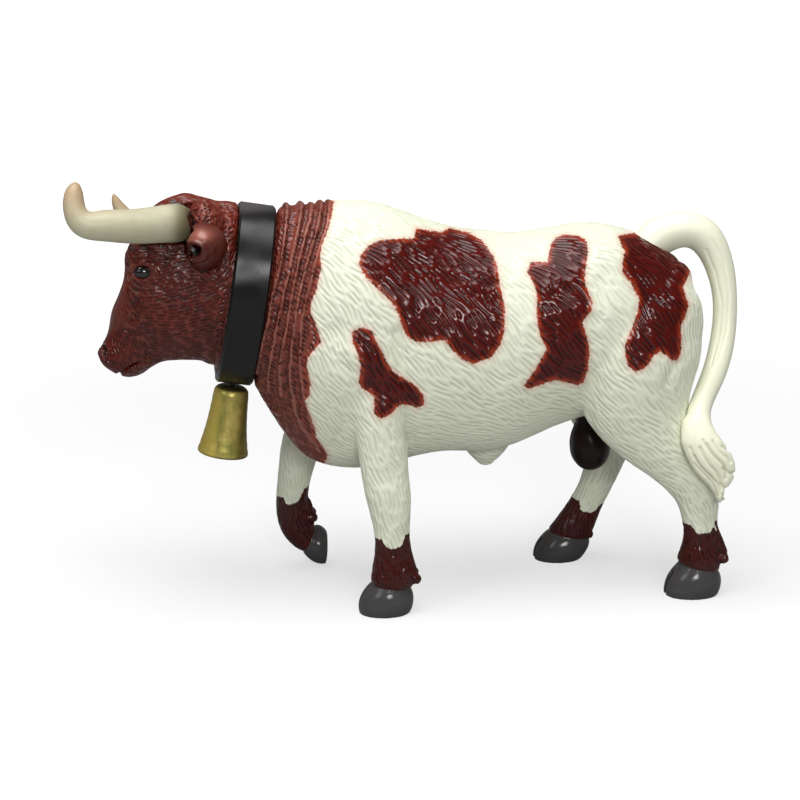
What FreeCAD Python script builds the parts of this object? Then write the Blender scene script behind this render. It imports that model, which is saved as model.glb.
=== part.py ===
import FreeCAD, Part
import math
import os

from FreeCAD import Placement, Rotation, Vector

# Overall sizes of the standing animal, which the tables of shares below follow
body_length = 100.0
withers_height = 90.0
body_width = 41.0

# Middle of the figurine's outer box, seen from above, which becomes the origin
box_middle_x = 2.43
box_middle_y = 3.95

# Points that each smooth outline and each round section goes through
outline_points = 14
ring_points = 12

# Fits between the glued mouldings
seat_clearance = 0.15
pin_radius = 1.5
pin_length = 3.0
cut_overrun = 2.0
trim_reach = 120.0

# Collar, the neck seat under it and the spigot that joins head and neck
collar_middle_x = -34.3
collar_rise_share = 0.7667
collar_lean = 9.0
collar_half_height = 20.1
collar_half_width = 14.4
collar_thickness = 1.8
collar_width = 8.0
collar_edge_radius = 0.45
neck_overlap = 0.5
spigot_depth = 6.0
spigot_half_height = 9.0
spigot_half_width = 6.0

# Head and its turn on the neck, placed forward of the collar's middle and above it
head_turn = 7.2
head_tilt = 10.0
head_turn_lead = 1.7
head_turn_rise = 3.0
head_turn_run = 9.0
head_length = 40.0
head_height = 40.0
head_width = 25.0
head_top_rise = 22.0

# Eyes and nostrils
eye_radius = 1.7
nostril_radius = 0.75

# Horns
horn_span = 45.5
horn_reach = 21.0
horn_rise = 8.2
horn_root_radius = 4.2
horn_root_lead = 10.9
horn_root_rise = 15.8
horn_height_offset = 0.7

# Ears
ear_length = 12.0
ear_radius = 4.9
ear_wall = 0.8
ear_scoop = 2.8
right_ear_lead = 2.0
ear_root_lead = 6.8
ear_root_y = 8.5
ear_root_rise = 10.2

# Legs and hooves
hoof_cleft_width = 1.1
hoof_cleft_share = 0.55
hoof_bulge = 0.7
hoof_bulge_share = 0.35
dewclaw_radius = 1.35
dewclaw_spread = 2.2

# Belly, scrotum and tail
sheath_length = 6.9
sheath_radius = 6.0
sheath_width_share = 0.7
scrotum_height = 13.0
scrotum_half_length = 4.9
scrotum_half_width = 4.7
scrotum_place_shares = (0.433, 0.299)
tail_root_radius = 4.2

# Bell, hung on the lug under the collar
bell_height = 15.8
bell_crown_radius = 3.9
bell_mouth_radius = 5.7
bell_edge_radius = 0.8
bell_wall = 0.9
bell_recess = 3.0
bell_roof_share = 0.8
bell_gap = 0.75
lug_barrel_radius = 0.9
lug_barrel_length = 3.0
lug_neck_thickness = 1.1
lug_drop = 2.4
lug_clearance = 0.15
bell_swing = 8.0

# Where the torso's top leaves the collar, on the scale of the stations below
torso_start_share = -0.271

# Torso stations behind the collar, down to the rump: place of the top and bottom of the
# outline, half width, height of the widest line and how full the outline's halves are
torso_shares = [
    (-0.258, 0.983, -0.321, 0.515, 0.345, 0.50, 2.3, 1.9),
    (-0.200, 0.988, -0.275, 0.427, 0.378, 0.50, 2.2, 1.8),
    (-0.140, 0.993, -0.215, 0.351, 0.434, 0.52, 2.1, 1.8),
    (-0.080, 0.991, -0.130, 0.321, 0.473, 0.54, 2.1, 1.9),
    (0.000, 0.967, -0.020, 0.336, 0.492, 0.55, 2.1, 2.1),
    (0.090, 0.931, 0.080, 0.361, 0.497, 0.55, 2.1, 2.2),
    (0.180, 0.912, 0.180, 0.359, 0.500, 0.54, 2.1, 2.2),
    (0.270, 0.904, 0.270, 0.383, 0.492, 0.52, 2.1, 2.2),
    (0.360, 0.917, 0.350, 0.418, 0.472, 0.48, 2.2, 2.2),
    (0.450, 0.922, 0.450, 0.444, 0.450, 0.46, 2.2, 2.2),
    (0.530, 0.900, 0.540, 0.489, 0.410, 0.48, 2.2, 2.2),
    (0.590, 0.866, 0.600, 0.544, 0.340, 0.50, 2.2, 2.2),
    (0.630, 0.811, 0.637, 0.600, 0.240, 0.50, 2.1, 2.1),
    (0.652, 0.756, 0.655, 0.667, 0.110, 0.50, 2.0, 2.0),
]

# Leg stations from the shoulder or hip to the coronet: front x and z, rear x and z,
# distance of the middle from the body's middle plane, and half width
left_fore_shares = [
    (-0.200, 0.711, -0.010, 0.689, 0.275, 0.180),
    (-0.165, 0.611, 0.005, 0.600, 0.300, 0.178),
    (-0.132, 0.522, 0.010, 0.511, 0.341, 0.151),
    (-0.117, 0.441, 0.002, 0.437, 0.366, 0.132),
    (-0.106, 0.361, 0.000, 0.356, 0.390, 0.115),
    (-0.096, 0.294, 0.005, 0.289, 0.402, 0.110),
    (-0.082, 0.228, 0.002, 0.228, 0.415, 0.093),
    (-0.076, 0.178, 0.003, 0.178, 0.415, 0.089),
    (-0.080, 0.128, 0.013, 0.128, 0.415, 0.100),
    (-0.084, 0.074, 0.004, 0.060, 0.415, 0.103),
]
right_fore_shares = [
    (-0.230, 0.667, -0.030, 0.667, 0.256, 0.180),
    (-0.235, 0.556, -0.075, 0.544, 0.293, 0.176),
    (-0.240, 0.456, -0.115, 0.433, 0.329, 0.146),
    (-0.253, 0.367, -0.160, 0.333, 0.361, 0.122),
    (-0.264, 0.300, -0.180, 0.278, 0.380, 0.110),
    (-0.270, 0.233, -0.192, 0.228, 0.390, 0.098),
    (-0.274, 0.172, -0.197, 0.183, 0.390, 0.095),
    (-0.266, 0.106, -0.189, 0.144, 0.390, 0.100),
    (-0.240, 0.060, -0.183, 0.118, 0.390, 0.102),
    (-0.214, 0.039, -0.183, 0.103, 0.390, 0.103),
]
left_hind_shares = [
    (0.430, 0.856, 0.580, 0.850, 0.150, 0.110),
    (0.395, 0.778, 0.640, 0.789, 0.210, 0.170),
    (0.365, 0.700, 0.664, 0.722, 0.246, 0.200),
    (0.355, 0.622, 0.673, 0.644, 0.263, 0.207),
    (0.370, 0.539, 0.646, 0.567, 0.285, 0.188),
    (0.406, 0.450, 0.632, 0.489, 0.307, 0.156),
    (0.475, 0.367, 0.655, 0.428, 0.322, 0.122),
    (0.545, 0.311, 0.690, 0.361, 0.337, 0.102),
    (0.593, 0.264, 0.708, 0.306, 0.341, 0.094),
    (0.618, 0.217, 0.706, 0.228, 0.341, 0.085),
    (0.627, 0.172, 0.706, 0.172, 0.341, 0.083),
    (0.624, 0.122, 0.713, 0.122, 0.341, 0.098),
    (0.620, 0.080, 0.712, 0.060, 0.341, 0.103),
]
right_hind_shares = [
    (0.430, 0.856, 0.580, 0.850, 0.150, 0.110),
    (0.395, 0.778, 0.635, 0.789, 0.210, 0.170),
    (0.370, 0.700, 0.655, 0.711, 0.246, 0.200),
    (0.365, 0.600, 0.645, 0.622, 0.265, 0.203),
    (0.390, 0.489, 0.620, 0.522, 0.293, 0.163),
    (0.415, 0.389, 0.596, 0.417, 0.312, 0.132),
    (0.445, 0.328, 0.585, 0.356, 0.327, 0.110),
    (0.458, 0.272, 0.566, 0.294, 0.337, 0.098),
    (0.446, 0.206, 0.536, 0.217, 0.341, 0.087),
    (0.426, 0.161, 0.514, 0.167, 0.341, 0.085),
    (0.396, 0.111, 0.496, 0.122, 0.341, 0.098),
    (0.371, 0.073, 0.473, 0.052, 0.341, 0.103),
]

# Soles: toe x and z, heel x and z, half width of the sole
left_fore_sole_shares = (-0.116, 0.0, 0.006, 0.0, 0.127)
right_fore_sole_shares = (-0.160, 0.0, -0.154, 0.092, 0.122)
left_hind_sole_shares = (0.585, 0.0, 0.714, 0.0, 0.127)
right_hind_sole_shares = (0.335, 0.0, 0.455, 0.0, 0.124)

# Dewclaws: x and z behind each fetlock
left_fore_dewclaw_shares = (0.012, 0.090)
right_fore_dewclaw_shares = (-0.190, 0.137)
left_hind_dewclaw_shares = (0.716, 0.098)
right_hind_dewclaw_shares = (0.466, 0.070)

# Head stations from the neck to the muzzle, as shares of the head's length before the collar
# and of its height under the poll: top x and z, bottom x and z, half width, widest line, fullness
head_shares = [
    (0.025, 0.050, 0.165, 0.940, 0.455, 0.50, 2.3, 2.1),
    (0.160, 0.015, 0.235, 0.920, 0.470, 0.48, 2.3, 2.1),
    (0.345, 0.000, 0.320, 0.905, 0.490, 0.40, 2.4, 2.1),
    (0.500, 0.070, 0.400, 0.905, 0.490, 0.36, 2.5, 2.1),
    (0.610, 0.250, 0.475, 0.915, 0.450, 0.34, 2.5, 2.1),
    (0.650, 0.430, 0.540, 0.950, 0.370, 0.38, 2.4, 2.2),
    (0.692, 0.605, 0.600, 0.985, 0.305, 0.42, 2.4, 2.2),
    (0.742, 0.735, 0.670, 0.990, 0.285, 0.48, 2.4, 2.3),
    (0.790, 0.810, 0.735, 0.960, 0.262, 0.50, 2.4, 2.4),
    (0.812, 0.845, 0.780, 0.920, 0.150, 0.50, 2.2, 2.2),
]
eye_shares = (0.520, 0.325, 0.430)
nostril_shares = (0.800, 0.860, 0.190)

# Path of a horn from its root to its tip, in shares of reach, half span and rise, and its taper
horn_path_shares = [
    (0.00, 0.27, 0.00),
    (0.05, 0.49, 0.00),
    (0.24, 0.635, -0.02),
    (0.51, 0.81, -0.06),
    (0.75, 0.94, -0.03),
    (0.965, 1.01, 0.16),
    (1.00, 1.00, 0.48),
    (0.99, 0.98, 0.82),
    (0.97, 0.97, 1.00),
]
horn_taper_shares = [1.00, 1.00, 0.95, 0.87, 0.78, 0.62, 0.55, 0.41, 0.12]

# Path of an ear, in shares of its length, and its swell
ear_path_shares = [
    (0.00, 0.00, 0.00),
    (-0.02, 0.25, 0.02),
    (-0.03, 0.50, 0.05),
    (0.02, 0.78, 0.06),
    (0.10, 1.00, 0.04),
]
ear_swell_shares = [0.50, 0.80, 1.00, 0.82, 0.25]

# Path of the tail from inside the rump to the tip of the tuft: x, distance to the left and z,
# then half its width and half its thickness against the root's radius
tail_shares = [
    (0.530, 0.000, 0.840, 1.00, 1.00),
    (0.578, 0.000, 0.882, 1.02, 1.02),
    (0.632, 0.000, 0.903, 0.98, 0.98),
    (0.682, 0.012, 0.888, 0.94, 0.94),
    (0.716, 0.036, 0.828, 0.80, 0.80),
    (0.732, 0.073, 0.739, 0.66, 0.66),
    (0.723, 0.134, 0.626, 0.66, 0.66),
    (0.688, 0.256, 0.546, 0.63, 0.63),
    (0.655, 0.354, 0.494, 0.60, 0.58),
    (0.640, 0.451, 0.455, 0.71, 0.54),
    (0.650, 0.502, 0.404, 0.98, 0.52),
    (0.669, 0.512, 0.362, 1.10, 0.52),
    (0.679, 0.512, 0.314, 0.86, 0.44),
    (0.695, 0.502, 0.253, 0.28, 0.19),
]

# Sheath under the belly: its place, and its drop and taper down to the tip
sheath_place_shares = (0.197, 0.385)
sheath_taper_shares = [(0.0, 1.0), (0.45, 0.78), (0.8, 0.42), (1.0, 0.18)]

# Scrotum: rise above its lowest point and size of each of its outlines
scrotum_shares = [
    (0.00, 0.30),
    (0.10, 0.72),
    (0.32, 1.00),
    (0.60, 0.92),
    (0.85, 0.62),
    (1.05, 0.46),
    (1.25, 0.44),
]

# Bell outline from crown to mouth: radius between crown and mouth, and drop
bell_flare_shares = [(0.10, 0.25), (0.28, 0.50), (0.58, 0.78), (1.00, 1.00)]

# Glue pins between the two body halves: x and z
pin_shares = [(-0.10, 0.68), (0.22, 0.62), (0.50, 0.66)]


def signed_power(value, power):
    """Power of a sine or cosine that keeps its sign."""
    return math.copysign(abs(value) ** power, value)


def closed_spline(points):
    """Smooth closed wire through points."""
    count = len(points)
    steps = [step / count for step in range(count + 1)]
    curve = Part.BSplineCurve()
    curve.interpolate(Points=points, PeriodicFlag=True, Parameters=steps)
    return Part.Wire([curve.toShape()])


def outline(high, low, half_width, widest_share=0.5, high_fullness=2.1, low_fullness=2.1):
    """Egg-shaped outline between two points, widened along the line square to both."""
    across = Vector(0, 1, 0)
    middle = high + (low - high) * widest_share
    points = []
    for step in range(outline_points):
        angle = 2 * math.pi * step / outline_points
        end = high if math.sin(angle) > 0 else low
        fullness = high_fullness if math.sin(angle) > 0 else low_fullness
        rise = abs(signed_power(math.sin(angle), 2 / fullness))
        width = signed_power(math.cos(angle), 2 / fullness) * half_width
        points.append(middle + (end - middle) * rise + across * width)
    return points


def loft(outlines):
    """Smooth closed solid through outlines."""
    return Part.makeLoft([closed_spline(points) for points in outlines], True, False)


def collar_frame():
    """Frame of the leaning collar: x through the neck towards the tail, z up the band."""
    middle = Vector(collar_middle_x, 0, collar_rise_share * withers_height)
    return Placement(middle, Rotation(Vector(0, 1, 0), collar_lean))


def neck_edge(side):
    """Top or bottom of the neck at the collar's rear face; side is 1 at the top and -1 below."""
    rise = collar_half_height - collar_edge_radius
    return collar_frame().multVec(Vector(collar_width / 2 + seat_clearance, 0, side * rise))


def body_place(x_share, z_share, y_share=0.0):
    """Point of the animal, the left side being the one with negative y."""
    return Vector(
        neck_edge(1).x + (x_share - torso_start_share) * body_length,
        y_share * body_width,
        z_share * withers_height,
    )


def tapered(path, sizes, flats=None):
    """Solid with oval sections along a smooth path, one section at each point."""
    spine = Part.BSplineCurve()
    spine.interpolate(Points=path)
    sections = []
    first = Vector(0, 0, 1)
    for index, point in enumerate(path):
        along = spine.tangent(spine.parameter(point))[0]
        first = first - along * first.dot(along)
        first.normalize()
        second = along.cross(first)
        wide = sizes[index]
        thin = flats[index] if flats else wide
        ring = []
        for step in range(ring_points):
            angle = 2 * math.pi * step / ring_points
            ring.append(point + first * wide * math.cos(angle) + second * thin * math.sin(angle))
        sections.append(ring)
    return loft(sections)


def neck_plug(start, length, half_height, half_width):
    """Plug of one oval section along the neck, in the collar's frame."""
    points = outline(Vector(start, 0, half_height), Vector(start, 0, -half_height), half_width)
    plug = Part.Face(closed_spline(points)).extrude(Vector(length, 0, 0))
    plug.Placement = collar_frame()
    return plug


def neck_seat(start, length, allowance=0.0):
    """Stretch of the neck that the collar goes round."""
    inset = collar_thickness + seat_clearance - allowance
    return neck_plug(start, length, collar_half_height - inset, collar_half_width - inset)


def torso():
    """Barrel of the body from the collar to the rump."""
    sections = [outline(neck_edge(1), neck_edge(-1), collar_half_width - collar_edge_radius)]
    for high_x, high_z, low_x, low_z, half, widest, high_full, low_full in torso_shares:
        sections.append(outline(
            body_place(high_x, high_z),
            body_place(low_x, low_z),
            half * body_width,
            widest,
            high_full,
            low_full,
        ))
    return loft(sections).fuse(neck_seat(0, collar_width))


def leg(shares, side):
    """Leg from shoulder or hip to the coronet; side is -1 on the left and 1 on the right."""
    sections = []
    for front_x, front_z, rear_x, rear_z, offset, half in shares:
        middle = Vector(0, side * offset * body_width, 0)
        sections.append(outline(
            body_place(front_x, front_z) + middle,
            body_place(rear_x, rear_z) + middle,
            half * body_width,
        ))
    return loft(sections)


def hoof(shares, sole_shares, side):
    """Cloven hoof from the coronet of a leg to its flat sole."""
    front_x, front_z, rear_x, rear_z, offset, half = shares[-1]
    toe_x, toe_z, heel_x, heel_z, sole_half = sole_shares
    middle = Vector(0, side * offset * body_width, 0)
    crown_front = body_place(front_x, front_z) + middle
    crown_rear = body_place(rear_x, rear_z) + middle
    toe = body_place(toe_x, toe_z) + middle
    heel = body_place(heel_x, heel_z) + middle
    forward = toe - heel
    forward.normalize()
    up = forward.cross(Vector(0, 1, 0))
    if up.dot(crown_front - toe) < 0:
        up = up * -1
    bulge_front = toe + (crown_front - toe) * hoof_bulge_share + forward * hoof_bulge
    bulge_rear = heel + (crown_rear - heel) * hoof_bulge_share - forward * hoof_bulge / 2
    sole_front = toe - forward * hoof_bulge / 2
    sole_rear = heel + forward * hoof_bulge / 2
    sole_width = sole_half * body_width
    wall = loft([
        outline(crown_front, crown_rear, half * body_width),
        outline(bulge_front, bulge_rear, sole_width),
        outline(sole_front, sole_rear, sole_width - hoof_bulge / 2),
    ])
    across = Vector(0, 1, 0)
    start = toe + forward * cut_overrun - up * cut_overrun
    top = crown_front + forward * cut_overrun
    deep = toe - forward * (toe - heel).Length * hoof_cleft_share - up * cut_overrun
    slot = Part.Face(Part.makePolygon([start, top, deep, start]))
    slot = slot.extrude(across * hoof_cleft_width)
    slot.translate(across * -hoof_cleft_width / 2)
    return wall.cut(slot)


def dewclaws(place_shares, offset, side):
    """Pair of small horny bumps behind a fetlock."""
    bumps = []
    for spread in (-dewclaw_spread, dewclaw_spread):
        centre = body_place(*place_shares) + Vector(0, side * offset * body_width + spread, 0)
        bumps.append(Part.makeSphere(dewclaw_radius, centre))
    return bumps


def sheath():
    """Cone of skin under the belly."""
    middle = body_place(*sheath_place_shares)
    wide = sheath_radius
    rings = []
    for drop_share, size_share in sheath_taper_shares:
        centre = middle - Vector(0, 0, drop_share * sheath_length)
        ring = outline(
            centre - Vector(wide * size_share, 0, 0),
            centre + Vector(wide * size_share, 0, 0),
            wide * size_share * sheath_width_share,
        )
        rings.append(ring)
    return loft(rings)


def tail(growth=0.0):
    """Tail with its tuft; growth widens it to cut its seat in the rump."""
    path = []
    sizes = []
    flats = []
    for x_share, left_share, z_share, wide_share, thin_share in tail_shares:
        path.append(body_place(x_share, z_share, -left_share))
        sizes.append(wide_share * tail_root_radius + growth)
        flats.append(thin_share * tail_root_radius + growth)
    return tapered(path, sizes, flats)


def scrotum(growth=0.0):
    """Hanging pouch between the thighs, narrowed to a neck that seats in the belly."""
    rings = []
    for rise_share, size_share in scrotum_shares:
        centre = body_place(*scrotum_place_shares) + Vector(0, 0, rise_share * scrotum_height)
        long_half = scrotum_half_length * size_share + growth
        wide_half = scrotum_half_width * size_share + growth
        rings.append(outline(centre - Vector(long_half, 0, 0), centre + Vector(long_half, 0, 0), wide_half))
    return loft(rings)


def head_turned(point, share=1.0):
    """Point of the straight head after the head's turn and tilt on the neck."""
    pivot = collar_frame().Base + Vector(-head_turn_lead, 0, head_turn_rise)
    turn = Rotation(Vector(0, 0, 1), -head_turn * share)
    tilt = Rotation(Vector(1, 0, 0), -head_tilt * share)
    return pivot + tilt.multVec(turn.multVec(point - pivot))


def head_place(x_share, z_share, y_share=0.0):
    """Point of the straight head, before it is turned."""
    return collar_frame().Base + Vector(
        -x_share * head_length,
        y_share * head_width,
        head_top_rise - z_share * head_height,
    )


def skull():
    """Head from the collar to the muzzle."""
    sections = []
    for high_x, high_z, low_x, low_z, half, widest, high_full, low_full in head_shares:
        points = outline(
            head_place(high_x, high_z),
            head_place(low_x, low_z),
            half * head_width,
            widest,
            high_full,
            low_full,
        )
        reach = (collar_middle_x - collar_width / 2 - head_place(high_x, high_z).x) / head_turn_run
        share = min(max(reach, 0.0), 1.0)
        sections.append([head_turned(point, share) for point in points])
    reach = collar_width / 2 + neck_overlap
    return loft(sections).fuse(neck_seat(-reach, reach))


def horn(side, growth=0.0):
    """Horn that leaves the skull sideways, sweeps forward and turns up at its tip."""
    path = []
    for reach_share, span_share, rise_share in horn_path_shares:
        rise = rise_share * (horn_rise - side * horn_height_offset)
        path.append(head_turned(collar_frame().Base + Vector(
            -horn_root_lead - reach_share * horn_reach,
            side * span_share * horn_span / 2,
            horn_root_rise + rise,
        )))
    sizes = [share * horn_root_radius + growth for share in horn_taper_shares]
    return tapered(path, sizes)


def ear(side, growth=0.0, hollow=True):
    """Short cupped ear that opens forward."""
    path = []
    scoop = []
    lead = right_ear_lead if side > 0 else 0
    for back_share, out_share, up_share in ear_path_shares:
        point = collar_frame().Base + Vector(
            -ear_root_lead - lead + back_share * ear_length,
            side * (ear_root_y + out_share * ear_length),
            ear_root_rise + up_share * ear_length,
        )
        path.append(head_turned(point))
        scoop.append(head_turned(point + Vector(-ear_scoop, side * ear_wall, 0)))
    sizes = [share * ear_radius + growth for share in ear_swell_shares]
    cup = tapered(path, sizes)
    if not hollow:
        return cup
    inner = [share * ear_radius - ear_wall for share in ear_swell_shares[1:-1]]
    return cup.cut([tapered(scoop[1:-1], inner), horn(side, seat_clearance)])


def head():
    """Head with its eyes, nostrils and mouth, bored for the horns and ears."""
    shape = skull()
    for side in (-1, 1):
        eye = head_turned(head_place(eye_shares[0], eye_shares[1], side * eye_shares[2]))
        shape = shape.fuse(Part.makeSphere(eye_radius, eye))
    for side in (-1, 1):
        nostril = head_turned(head_place(nostril_shares[0], nostril_shares[1], side * nostril_shares[2]))
        shape = shape.cut(Part.makeSphere(nostril_radius, nostril))
        shape = shape.cut(horn(side, seat_clearance))
        shape = shape.cut(ear(side, seat_clearance, False))
    spigot = neck_plug(0, spigot_depth, spigot_half_height, spigot_half_width)
    return shape.fuse(spigot)


def whole_body():
    """Torso and legs in one, before it is parted along the middle plane."""
    shape = torso()
    limbs = [
        (left_fore_shares, left_fore_sole_shares, left_fore_dewclaw_shares, -1),
        (right_fore_shares, right_fore_sole_shares, right_fore_dewclaw_shares, 1),
        (left_hind_shares, left_hind_sole_shares, left_hind_dewclaw_shares, -1),
        (right_hind_shares, right_hind_sole_shares, right_hind_dewclaw_shares, 1),
    ]
    for shares, sole_shares, claw_shares, side in limbs:
        shape = shape.fuse([leg(shares, side), hoof(shares, sole_shares, side)])
        shape = shape.fuse(dewclaws(claw_shares, shares[-1][4], side))
    shape = shape.fuse(sheath())
    socket = neck_plug(
        -cut_overrun,
        cut_overrun + spigot_depth + seat_clearance,
        spigot_half_height + seat_clearance,
        spigot_half_width + seat_clearance,
    )
    shape = shape.cut([socket, tail(seat_clearance), scrotum(seat_clearance)])
    floor = Part.makeBox(2 * trim_reach, 2 * trim_reach, trim_reach)
    floor.translate(Vector(-trim_reach, -trim_reach, -trim_reach))
    return shape.cut(floor)


def glue_pins(growth=0.0):
    """Pins across the middle plane that line the body halves up."""
    pins = []
    for x_share, z_share in pin_shares:
        start = body_place(x_share, z_share) - Vector(0, pin_length, 0)
        pins.append(Part.makeCylinder(
            pin_radius + growth, 2 * pin_length + growth, start, Vector(0, 1, 0)))
    return pins


def body_halves():
    """Left and right halves of the body, with pins on the left and sockets in the right."""
    whole = whole_body()
    block = Part.makeBox(2 * trim_reach, trim_reach, 2 * trim_reach)
    block.translate(Vector(-trim_reach, 0, -trim_reach))
    right = whole.common(block).cut(glue_pins(seat_clearance))
    left = whole.cut(block).fuse(glue_pins())
    return left, right


def bell_pivot():
    """Middle of the lug's barrel, in the collar's frame."""
    return Vector(0, 0, -collar_half_height - bell_gap - lug_drop)


def collar():
    """Band round the neck with the lug that carries the bell."""
    half = collar_width / 2
    rings = []
    for place, inset in (
        (-half, collar_edge_radius),
        (-half + collar_edge_radius, 0),
        (half - collar_edge_radius, 0),
        (half, collar_edge_radius),
    ):
        rise = collar_half_height - inset
        rings.append(closed_spline(outline(
            Vector(place, 0, rise), Vector(place, 0, -rise), collar_half_width - inset)))
    band = Part.makeLoft(rings, True, True)
    rise = collar_half_height - collar_thickness
    bore = Part.Face(closed_spline(outline(
        Vector(-collar_width, 0, rise), Vector(-collar_width, 0, -rise), collar_half_width - collar_thickness)))
    band = band.cut(bore.extrude(Vector(2 * collar_width, 0, 0)))
    pivot = bell_pivot()
    barrel = Part.makeCylinder(
        lug_barrel_radius, lug_barrel_length, pivot - Vector(0, lug_barrel_length / 2, 0), Vector(0, 1, 0))
    neck_height = bell_gap + lug_drop + collar_thickness / 2
    neck = Part.makeBox(lug_neck_thickness, lug_neck_thickness, neck_height)
    neck.translate(pivot - Vector(lug_neck_thickness / 2, lug_neck_thickness / 2, 0))
    band = band.fuse([neck, barrel])
    band.Placement = collar_frame()
    return band


def bell():
    """Gold bell with a flared skirt, a shallow mouth and a socket for the lug in its crown."""
    crown_z = -collar_half_height - bell_gap
    mouth_z = crown_z - bell_height
    flare = bell_mouth_radius - bell_crown_radius
    side_points = [Vector(bell_crown_radius, 0, crown_z - bell_edge_radius)]
    for radius_share, drop_share in bell_flare_shares:
        side_points.append(Vector(
            bell_crown_radius + radius_share * flare, 0, crown_z - drop_share * bell_height))
    skirt = Part.BSplineCurve()
    skirt.interpolate(Points=side_points)
    edge_start = Vector(bell_crown_radius - bell_edge_radius, 0, crown_z)
    turn = bell_edge_radius * math.sqrt(0.5)
    edge_middle = edge_start + Vector(turn, 0, turn - bell_edge_radius)
    recess_radius = bell_mouth_radius - bell_wall
    corner = Vector(recess_radius, 0, mouth_z)
    roof = Vector(recess_radius * bell_roof_share, 0, mouth_z + bell_recess)
    edges = [
        Part.LineSegment(Vector(0, 0, crown_z), edge_start).toShape(),
        Part.Arc(edge_start, edge_middle, side_points[0]).toShape(),
        skirt.toShape(),
        Part.LineSegment(side_points[-1], corner).toShape(),
        Part.LineSegment(corner, roof).toShape(),
        Part.LineSegment(roof, Vector(0, 0, mouth_z + bell_recess)).toShape(),
        Part.LineSegment(Vector(0, 0, mouth_z + bell_recess), Vector(0, 0, crown_z)).toShape(),
    ]
    profile = Part.Face(Part.Wire(edges))
    shape = profile.revolve(Vector(0, 0, 0), Vector(0, 0, 1), 360)
    pivot = bell_pivot()
    bore_length = lug_barrel_length + 2 * lug_clearance
    bore = Part.makeCylinder(
        lug_barrel_radius + lug_clearance, bore_length, pivot - Vector(0, bore_length / 2, 0), Vector(0, 1, 0))
    spread = math.tan(math.radians(bell_swing)) * lug_drop
    slot_bottom = lug_neck_thickness / 2 + lug_clearance
    slot_top = slot_bottom + spread + lug_clearance
    half_slot = lug_neck_thickness / 2 + lug_clearance
    slot_points = [
        pivot + Vector(-slot_bottom, -half_slot, 0),
        pivot + Vector(slot_bottom, -half_slot, 0),
        pivot + Vector(slot_top, -half_slot, lug_drop + bell_gap),
        pivot + Vector(-slot_top, -half_slot, lug_drop + bell_gap),
    ]
    slot = Part.Face(Part.makePolygon(slot_points + slot_points[:1]))
    slot = slot.extrude(Vector(0, 2 * half_slot, 0))
    shape = shape.cut([bore, slot])
    shape.Placement = collar_frame()
    return shape


def build():
    """All mouldings of the figurine by name, in their places."""
    left_half, right_half = body_halves()
    return {
        "body_left_half": left_half,
        "body_right_half": right_half,
        "head": head(),
        "left_horn": horn(-1),
        "right_horn": horn(1),
        "left_ear": ear(-1),
        "right_ear": ear(1),
        "tail": tail(),
        "scrotum": scrotum(),
        "collar": collar(),
        "bell": bell(),
    }


os.makedirs("parts", exist_ok=True)
for name, shape in build().items():
    if len(shape.Solids) == 1:
        shape = shape.Solids[0]
    shape = shape.copy()
    shape.translate(Vector(-box_middle_x, -box_middle_y, 0))
    shape.exportStep("parts/" + name + ".step")
    box = shape.BoundBox
    print(name, shape.ShapeType, len(shape.Solids), shape.isValid(), round(shape.Volume, 1),
          [round(v, 2) for v in (box.XMin, box.XMax, box.YMin, box.YMax, box.ZMin, box.ZMax)])
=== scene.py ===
import math

import bpy
import bmesh
import numpy as np
from mathutils import Matrix, Vector
from mathutils.kdtree import KDTree


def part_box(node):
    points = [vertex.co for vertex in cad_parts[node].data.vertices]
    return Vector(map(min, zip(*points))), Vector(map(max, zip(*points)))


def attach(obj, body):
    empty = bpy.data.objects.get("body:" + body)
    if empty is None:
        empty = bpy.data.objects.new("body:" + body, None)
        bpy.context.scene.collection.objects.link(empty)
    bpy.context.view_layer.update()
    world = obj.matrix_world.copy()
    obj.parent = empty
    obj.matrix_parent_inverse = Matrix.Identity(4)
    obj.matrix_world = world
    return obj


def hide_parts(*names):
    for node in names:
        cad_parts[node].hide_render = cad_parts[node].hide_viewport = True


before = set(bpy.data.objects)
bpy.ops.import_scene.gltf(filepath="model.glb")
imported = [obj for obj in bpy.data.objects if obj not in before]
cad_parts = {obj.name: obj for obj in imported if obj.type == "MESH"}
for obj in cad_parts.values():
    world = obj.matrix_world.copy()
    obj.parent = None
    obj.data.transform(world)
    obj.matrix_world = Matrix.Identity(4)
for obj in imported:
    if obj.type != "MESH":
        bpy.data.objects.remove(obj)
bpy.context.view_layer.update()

MM = 0.001

# Camera of the photograph
# A long lens looks at the animal's left side, a little from above and a little from the head's end.
# The middle of the animal is the plane between its two halves, where the right half begins.
middle_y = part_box("body_right_half")[0][1] / MM
camera_place = np.array([-54.70, middle_y - 431.92, 158.75])
camera_target = np.array([-2.43, middle_y, 43.8])
lens_mm = 90.0
sensor_mm = 36.0
photo_side = 800

camera_data = bpy.data.cameras.new("photo_camera")
camera_data.lens = lens_mm
camera_data.sensor_width = sensor_mm
camera_data.clip_start = 0.01
camera_data.clip_end = 20.0
camera = bpy.data.objects.new("photo_camera", camera_data)
bpy.context.scene.collection.objects.link(camera)
camera.location = Vector(camera_place) * MM
camera.rotation_euler = Vector(camera_target - camera_place).to_track_quat("-Z", "Y").to_euler()
bpy.context.scene.camera = camera


def unit(rows):
    """Rows of vectors at length one."""
    return rows / np.maximum(np.linalg.norm(rows, axis=-1, keepdims=True), 1e-9)


look = unit(camera_target - camera_place)
look_right = unit(np.cross(look, [0.0, 0.0, 1.0]))
look_up = np.cross(look_right, look)


def photo_points(points):
    """Pixels of the photograph under points in millimetres."""
    offset = points - camera_place
    scale = photo_side * lens_mm / sensor_mm / (offset @ look)
    return np.stack([
        photo_side / 2 + (offset @ look_right) * scale,
        photo_side / 2 - (offset @ look_up) * scale,
    ], axis=1)


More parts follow.
